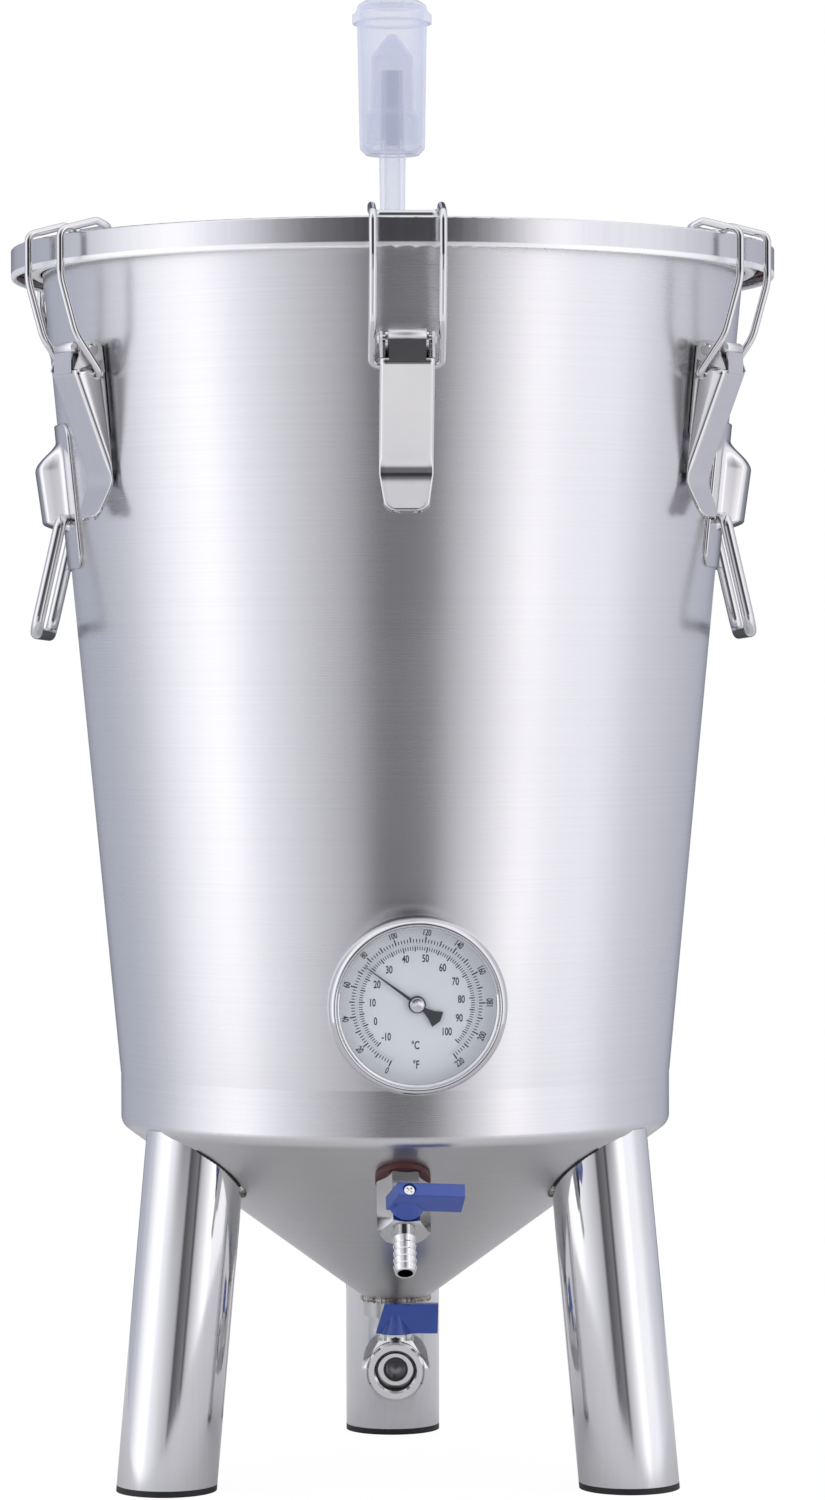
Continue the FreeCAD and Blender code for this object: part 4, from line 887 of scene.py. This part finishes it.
ELBOW_TOP = 83.3
CONE_FOOT = (14.5, 83.3)
CONE_TOP = (134.3, 171.0)
CONE_RISE = (CONE_TOP[1] - CONE_FOOT[1]) / (CONE_TOP[0] - CONE_FOOT[0])
LEG_RADIUS = 24.0
LEG_TOP, LEG_FOOT = 110.6, 127.9
LEG_YAW = 1.0
LEG_CLEARANCE = 0.3
JOINT_START, JOINT_END = 62, 298
JOINT_STEPS = 150
CREASE_MARGIN = 5.5
GAP_SHADOW_RADIUS, TACK_BEAD, RING_BEAD = 0.75, 1.7, 1.5
RING_RADIUS, RING_RISE = 15.4, 0.6
RIPPLE_PITCH, WANDER = 2.1, 0.35


def bead(path, radius, seed, ripple, closed=False, steps=14):
    """Weld bead: a circle carried along the path, its radius rippled by a sine of the distance run and a
    little random wander."""
    path = np.asarray(path, float)
    way = np.gradient(path, axis=0) if not closed else np.roll(path, -1, 0) - np.roll(path, 1, 0)
    way /= np.linalg.norm(way, axis=1)[:, None]
    run = np.concatenate([[0.0], np.cumsum(np.linalg.norm(np.diff(path, axis=0), axis=1))])
    rng = np.random.default_rng(seed)
    wander = np.convolve(rng.normal(0, 1, len(path) + 8), np.ones(9) / 9, "valid")
    size = radius * (1 + ripple * np.sin(run * 2 * math.pi / RIPPLE_PITCH) + WANDER * wander)
    if not closed:
        size *= np.clip(np.minimum(run, run[-1] - run) / (radius * 1.5), 0.05, 1.0)
    up = np.array((0.0, 0.0, 1.0))
    points = []
    for spot, forward, wide in zip(path, way, size):
        side = np.cross(forward, up)
        side /= np.linalg.norm(side)
        top = np.cross(side, forward)
        for turn in np.linspace(0, 2 * math.pi, steps, endpoint=False):
            points.append(spot + (side * math.cos(turn) + top * math.sin(turn)) * wide)
    return points, grid_faces(len(path), steps, round_rows=closed, round_columns=True)


def make_weld_steel():
    """Blotchy weld metal: noise gives its colour, from scorched to bright, its roughness and its bump."""
    made, tree, shader = material("weld_steel", (0.5, 0.49, 0.47), 1.0, 0.35)
    place = tree.nodes.new("ShaderNodeTexCoord")
    spots = noise(tree, 160.0, 4.0, 0.7)
    ramp = tree.nodes.new("ShaderNodeValToRGB")
    stops = ramp.color_ramp.elements
    stops[0].position, stops[0].color = 0.36, (0.16, 0.13, 0.10, 1.0)
    stops[1].position, stops[1].color = 0.62, (0.72, 0.71, 0.69, 1.0)
    stops.new(0.48).color = (0.42, 0.38, 0.33, 1.0)
    rough = remap(tree, 0.3, 0.7, 0.55, 0.16)
    link(tree, [
        (place.outputs["Object"], spots.inputs["Vector"]),
        (spots.outputs[0], ramp.inputs["Fac"]),
        (ramp.outputs["Color"], shader.inputs["Base Color"]),
        (spots.outputs[0], rough.inputs["Value"]),
        (rough.outputs[0], shader.inputs["Roughness"]),
    ])
    bumped(tree, spots.outputs[0], shader, 0.6, 0.0004)
    return made


weld_steel = make_weld_steel()
# Near-black tube laid along each leg's joint with the cone: painted shadow in the gap between them.
gap_shadow_paint, _, _ = material("leg_gap_painted_shadow", (0.02, 0.018, 0.016), 0.3, 0.5)


def leg_joint(degrees):
    """Curve where a leg's tube meets the cone: on each line down the tube, the height at which its
    distance from the axis gives the cone's own height there."""
    lean = math.atan2(LEG_FOOT - LEG_TOP, CONE_TOP[1])
    frame_turn = around(degrees + LEG_YAW)
    path = []
    for turn in np.linspace(math.radians(JOINT_START), math.radians(JOINT_END), JOINT_STEPS):
        side = np.array((math.cos(turn) * math.cos(lean), math.sin(turn), math.cos(turn) * math.sin(lean)))
        along = np.array((-math.sin(lean), 0.0, math.cos(lean)))
        low, high = 40.0, 230.0
        for _ in range(40):
            mid = (low + high) / 2
            spot = np.array((LEG_FOOT, 0, 0)) + side * (LEG_RADIUS + LEG_CLEARANCE) + along * mid
            cone = CONE_FOOT[1] + (math.hypot(spot[0], spot[1]) - CONE_FOOT[0]) * CONE_RISE
            if spot[2] > cone:
                high = mid
            else:
                low = mid
        if spot[2] < CONE_TOP[1] - CREASE_MARGIN:
            path.append(spot)
    return placed(path, frame_turn)


for side, degrees in (("left", -60.0), ("right", 60.0), ("rear", 180.0)):
    joint = leg_joint(degrees)
    # the gap run is painted shadow, not weld; the two tack runs are weld
    runs = (("gap", joint, GAP_SHADOW_RADIUS, gap_shadow_paint), ("weld_a", joint[42:64], TACK_BEAD, weld_steel),
            ("weld_b", joint[86:108], TACK_BEAD, weld_steel))
    for label, path, radius, finish in runs:
        bead_points, bead_faces = bead(path, radius, 11, 0.2)
        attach(shell(f"leg_{label}_{side}", bead_points, bead_faces, finish), "tank")

ring_turns = np.linspace(0, 2 * math.pi, 260, endpoint=False)
ring_path = np.column_stack([RING_RADIUS * np.cos(ring_turns), RING_RADIUS * np.sin(ring_turns),
                             np.full(len(ring_turns), ELBOW_TOP + RING_RISE)])
bead_points, bead_faces = bead(ring_path, RING_BEAD, 5, 0.22, closed=True)
outlet_weld = shell("outlet_weld", bead_points, bead_faces, weld_steel)
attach(outlet_weld, "tank")

# --- Drain port threads -------------------------------------------------------------------------
# Half-inch pipe thread cut in the port: ridges one pitch apart, in from the mouth.

PORT_RADIUS = 9.35
PORT_MOUTH = 57.0
PITCH = 1.81
THREAD_TURNS, THREAD_INSET = 4, 0.9
RIDGE = [(0.25, -0.7), (-0.75, 0.0), (0.25, 0.7)]


def thread():
    """Helical ridge: a small triangle carried round the port while it moves in by one pitch a turn."""
    points = []
    turns = np.linspace(0, THREAD_TURNS * 2 * math.pi, THREAD_TURNS * 60)
    for turn in turns:
        at = PORT_MOUTH - THREAD_INSET - PITCH * turn / (2 * math.pi)
        for out, up in RIDGE:
            radius = PORT_RADIUS + out
            points.append((radius * math.cos(turn), radius * math.sin(turn), at + up))
    return points, grid_faces(len(turns), len(RIDGE))


port = mounts["drain_port"]["pos_m"]
port_frame = Matrix.Translation((0, 0, port[2] / MM)) @ Matrix.Rotation(math.radians(90), 4, "X")
thread_points, thread_faces = thread()
# the threads take the darkened steel: painted shade inside the port
threads = shell("drain_thread", placed(thread_points, port_frame), thread_faces, bore_steel_painted_shade)
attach(threads, "tank")

# --- Carrying-handle brackets -------------------------------------------------------------------
# One pressed sheet each, spot-welded to the wall: a flange that follows the wall and a deep pocket
# with soft shoulders, drawn out at the top and cut off short at the bottom for the wire's ends.

BRACKET_LOW, BRACKET_HIGH = 440.7, 510.6
BRACKET_HALF = 53.7
BRACKET_CORNER = 8.0
BRACKET_SHEET = 1.5
POCKET_LOW, POCKET_HIGH = 458.5, 503.0
POCKET_HALF = 42.5
POCKET_DEPTH, POCKET_LEAN = 11.5, 2.0
SHOULDER_END, SHOULDER_FOOT, SHOULDER_HEAD = 4.2, 5.0, 15.0
WALL_GAP = 0.05


def soft_step(value):
    """0 to 1 with soft ends."""
    value = np.clip(value, 0.0, 1.0)
    return value * value * (3 - 2 * value)


def bracket():
    """Height field over the wall: the flange's even thickness plus the pocket's depth times soft steps in
    from its two ends, its foot and its slanted head."""
    heights = np.concatenate([np.linspace(BRACKET_LOW, BRACKET_LOW + BRACKET_CORNER, 9)[:-1],
                              np.linspace(BRACKET_LOW + BRACKET_CORNER, BRACKET_HIGH - BRACKET_CORNER, 70),
                              np.linspace(BRACKET_HIGH - BRACKET_CORNER, BRACKET_HIGH, 9)[1:]])
    spread = np.linspace(-1, 1, 121)
    points = []
    for height in heights:
        over = max(BRACKET_LOW + BRACKET_CORNER - height, height - BRACKET_HIGH + BRACKET_CORNER, 0.0)
        half = BRACKET_HALF - BRACKET_CORNER + math.sqrt(max(0.0, BRACKET_CORNER ** 2 - over ** 2))
        for share in spread:
            across = share * half
            ends = soft_step((POCKET_HALF - abs(across)) / SHOULDER_END)
            foot = soft_step((height - POCKET_LOW) / SHOULDER_FOOT)
            head = soft_step((POCKET_HIGH - height) / SHOULDER_HEAD) ** 0.85
            lean = (height - POCKET_LOW) / (POCKET_HIGH - POCKET_LOW) * POCKET_LEAN
            rise = (POCKET_DEPTH - BRACKET_SHEET + lean) * ends * foot * head
            out = wall_radius(height) + WALL_GAP + BRACKET_SHEET + rise
            reach = math.sqrt(max(out * out - across * across, 0.0))
            points.append((reach, across, height))
    return points, grid_faces(len(heights), len(spread))


for side, degrees in (("left", -90.0), ("right", 90.0)):
    turn = around(degrees)
    bracket_points, bracket_faces = bracket()
    plate = shell(f"bracket_{side}", placed(bracket_points, turn), bracket_faces, pressed)
    outward(plate, placed([(120.0, 0, 475.0)], turn)[0])
    thickened(plate, BRACKET_SHEET)
    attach(plate, "tank")
    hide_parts(f"handle_bracket_{side}")

# --- Airlock ------------------------------------------------------------------------------------
# Three thin clear mouldings, faintly blue: cup and stem, float, push-on cap. The plastic spreads the
# light that passes through it, which a faint glow of its own stands for.

AIRLOCK_GLOW = 0.30

airlock_clear = clear_sheet("airlock_clear", (0.56, 0.59, 0.70), roughness=0.2, face_on=0.2, edge_on=0.8)
airlock_light = airlock_clear.node_tree.nodes["Principled BSDF"].inputs
airlock_light["Emission Color"].default_value = (0.56, 0.59, 0.72, 1.0)
airlock_light["Emission Strength"].default_value = AIRLOCK_GLOW
finish_node(airlock_clear, "airlock_body", "airlock_float", "airlock_cap")
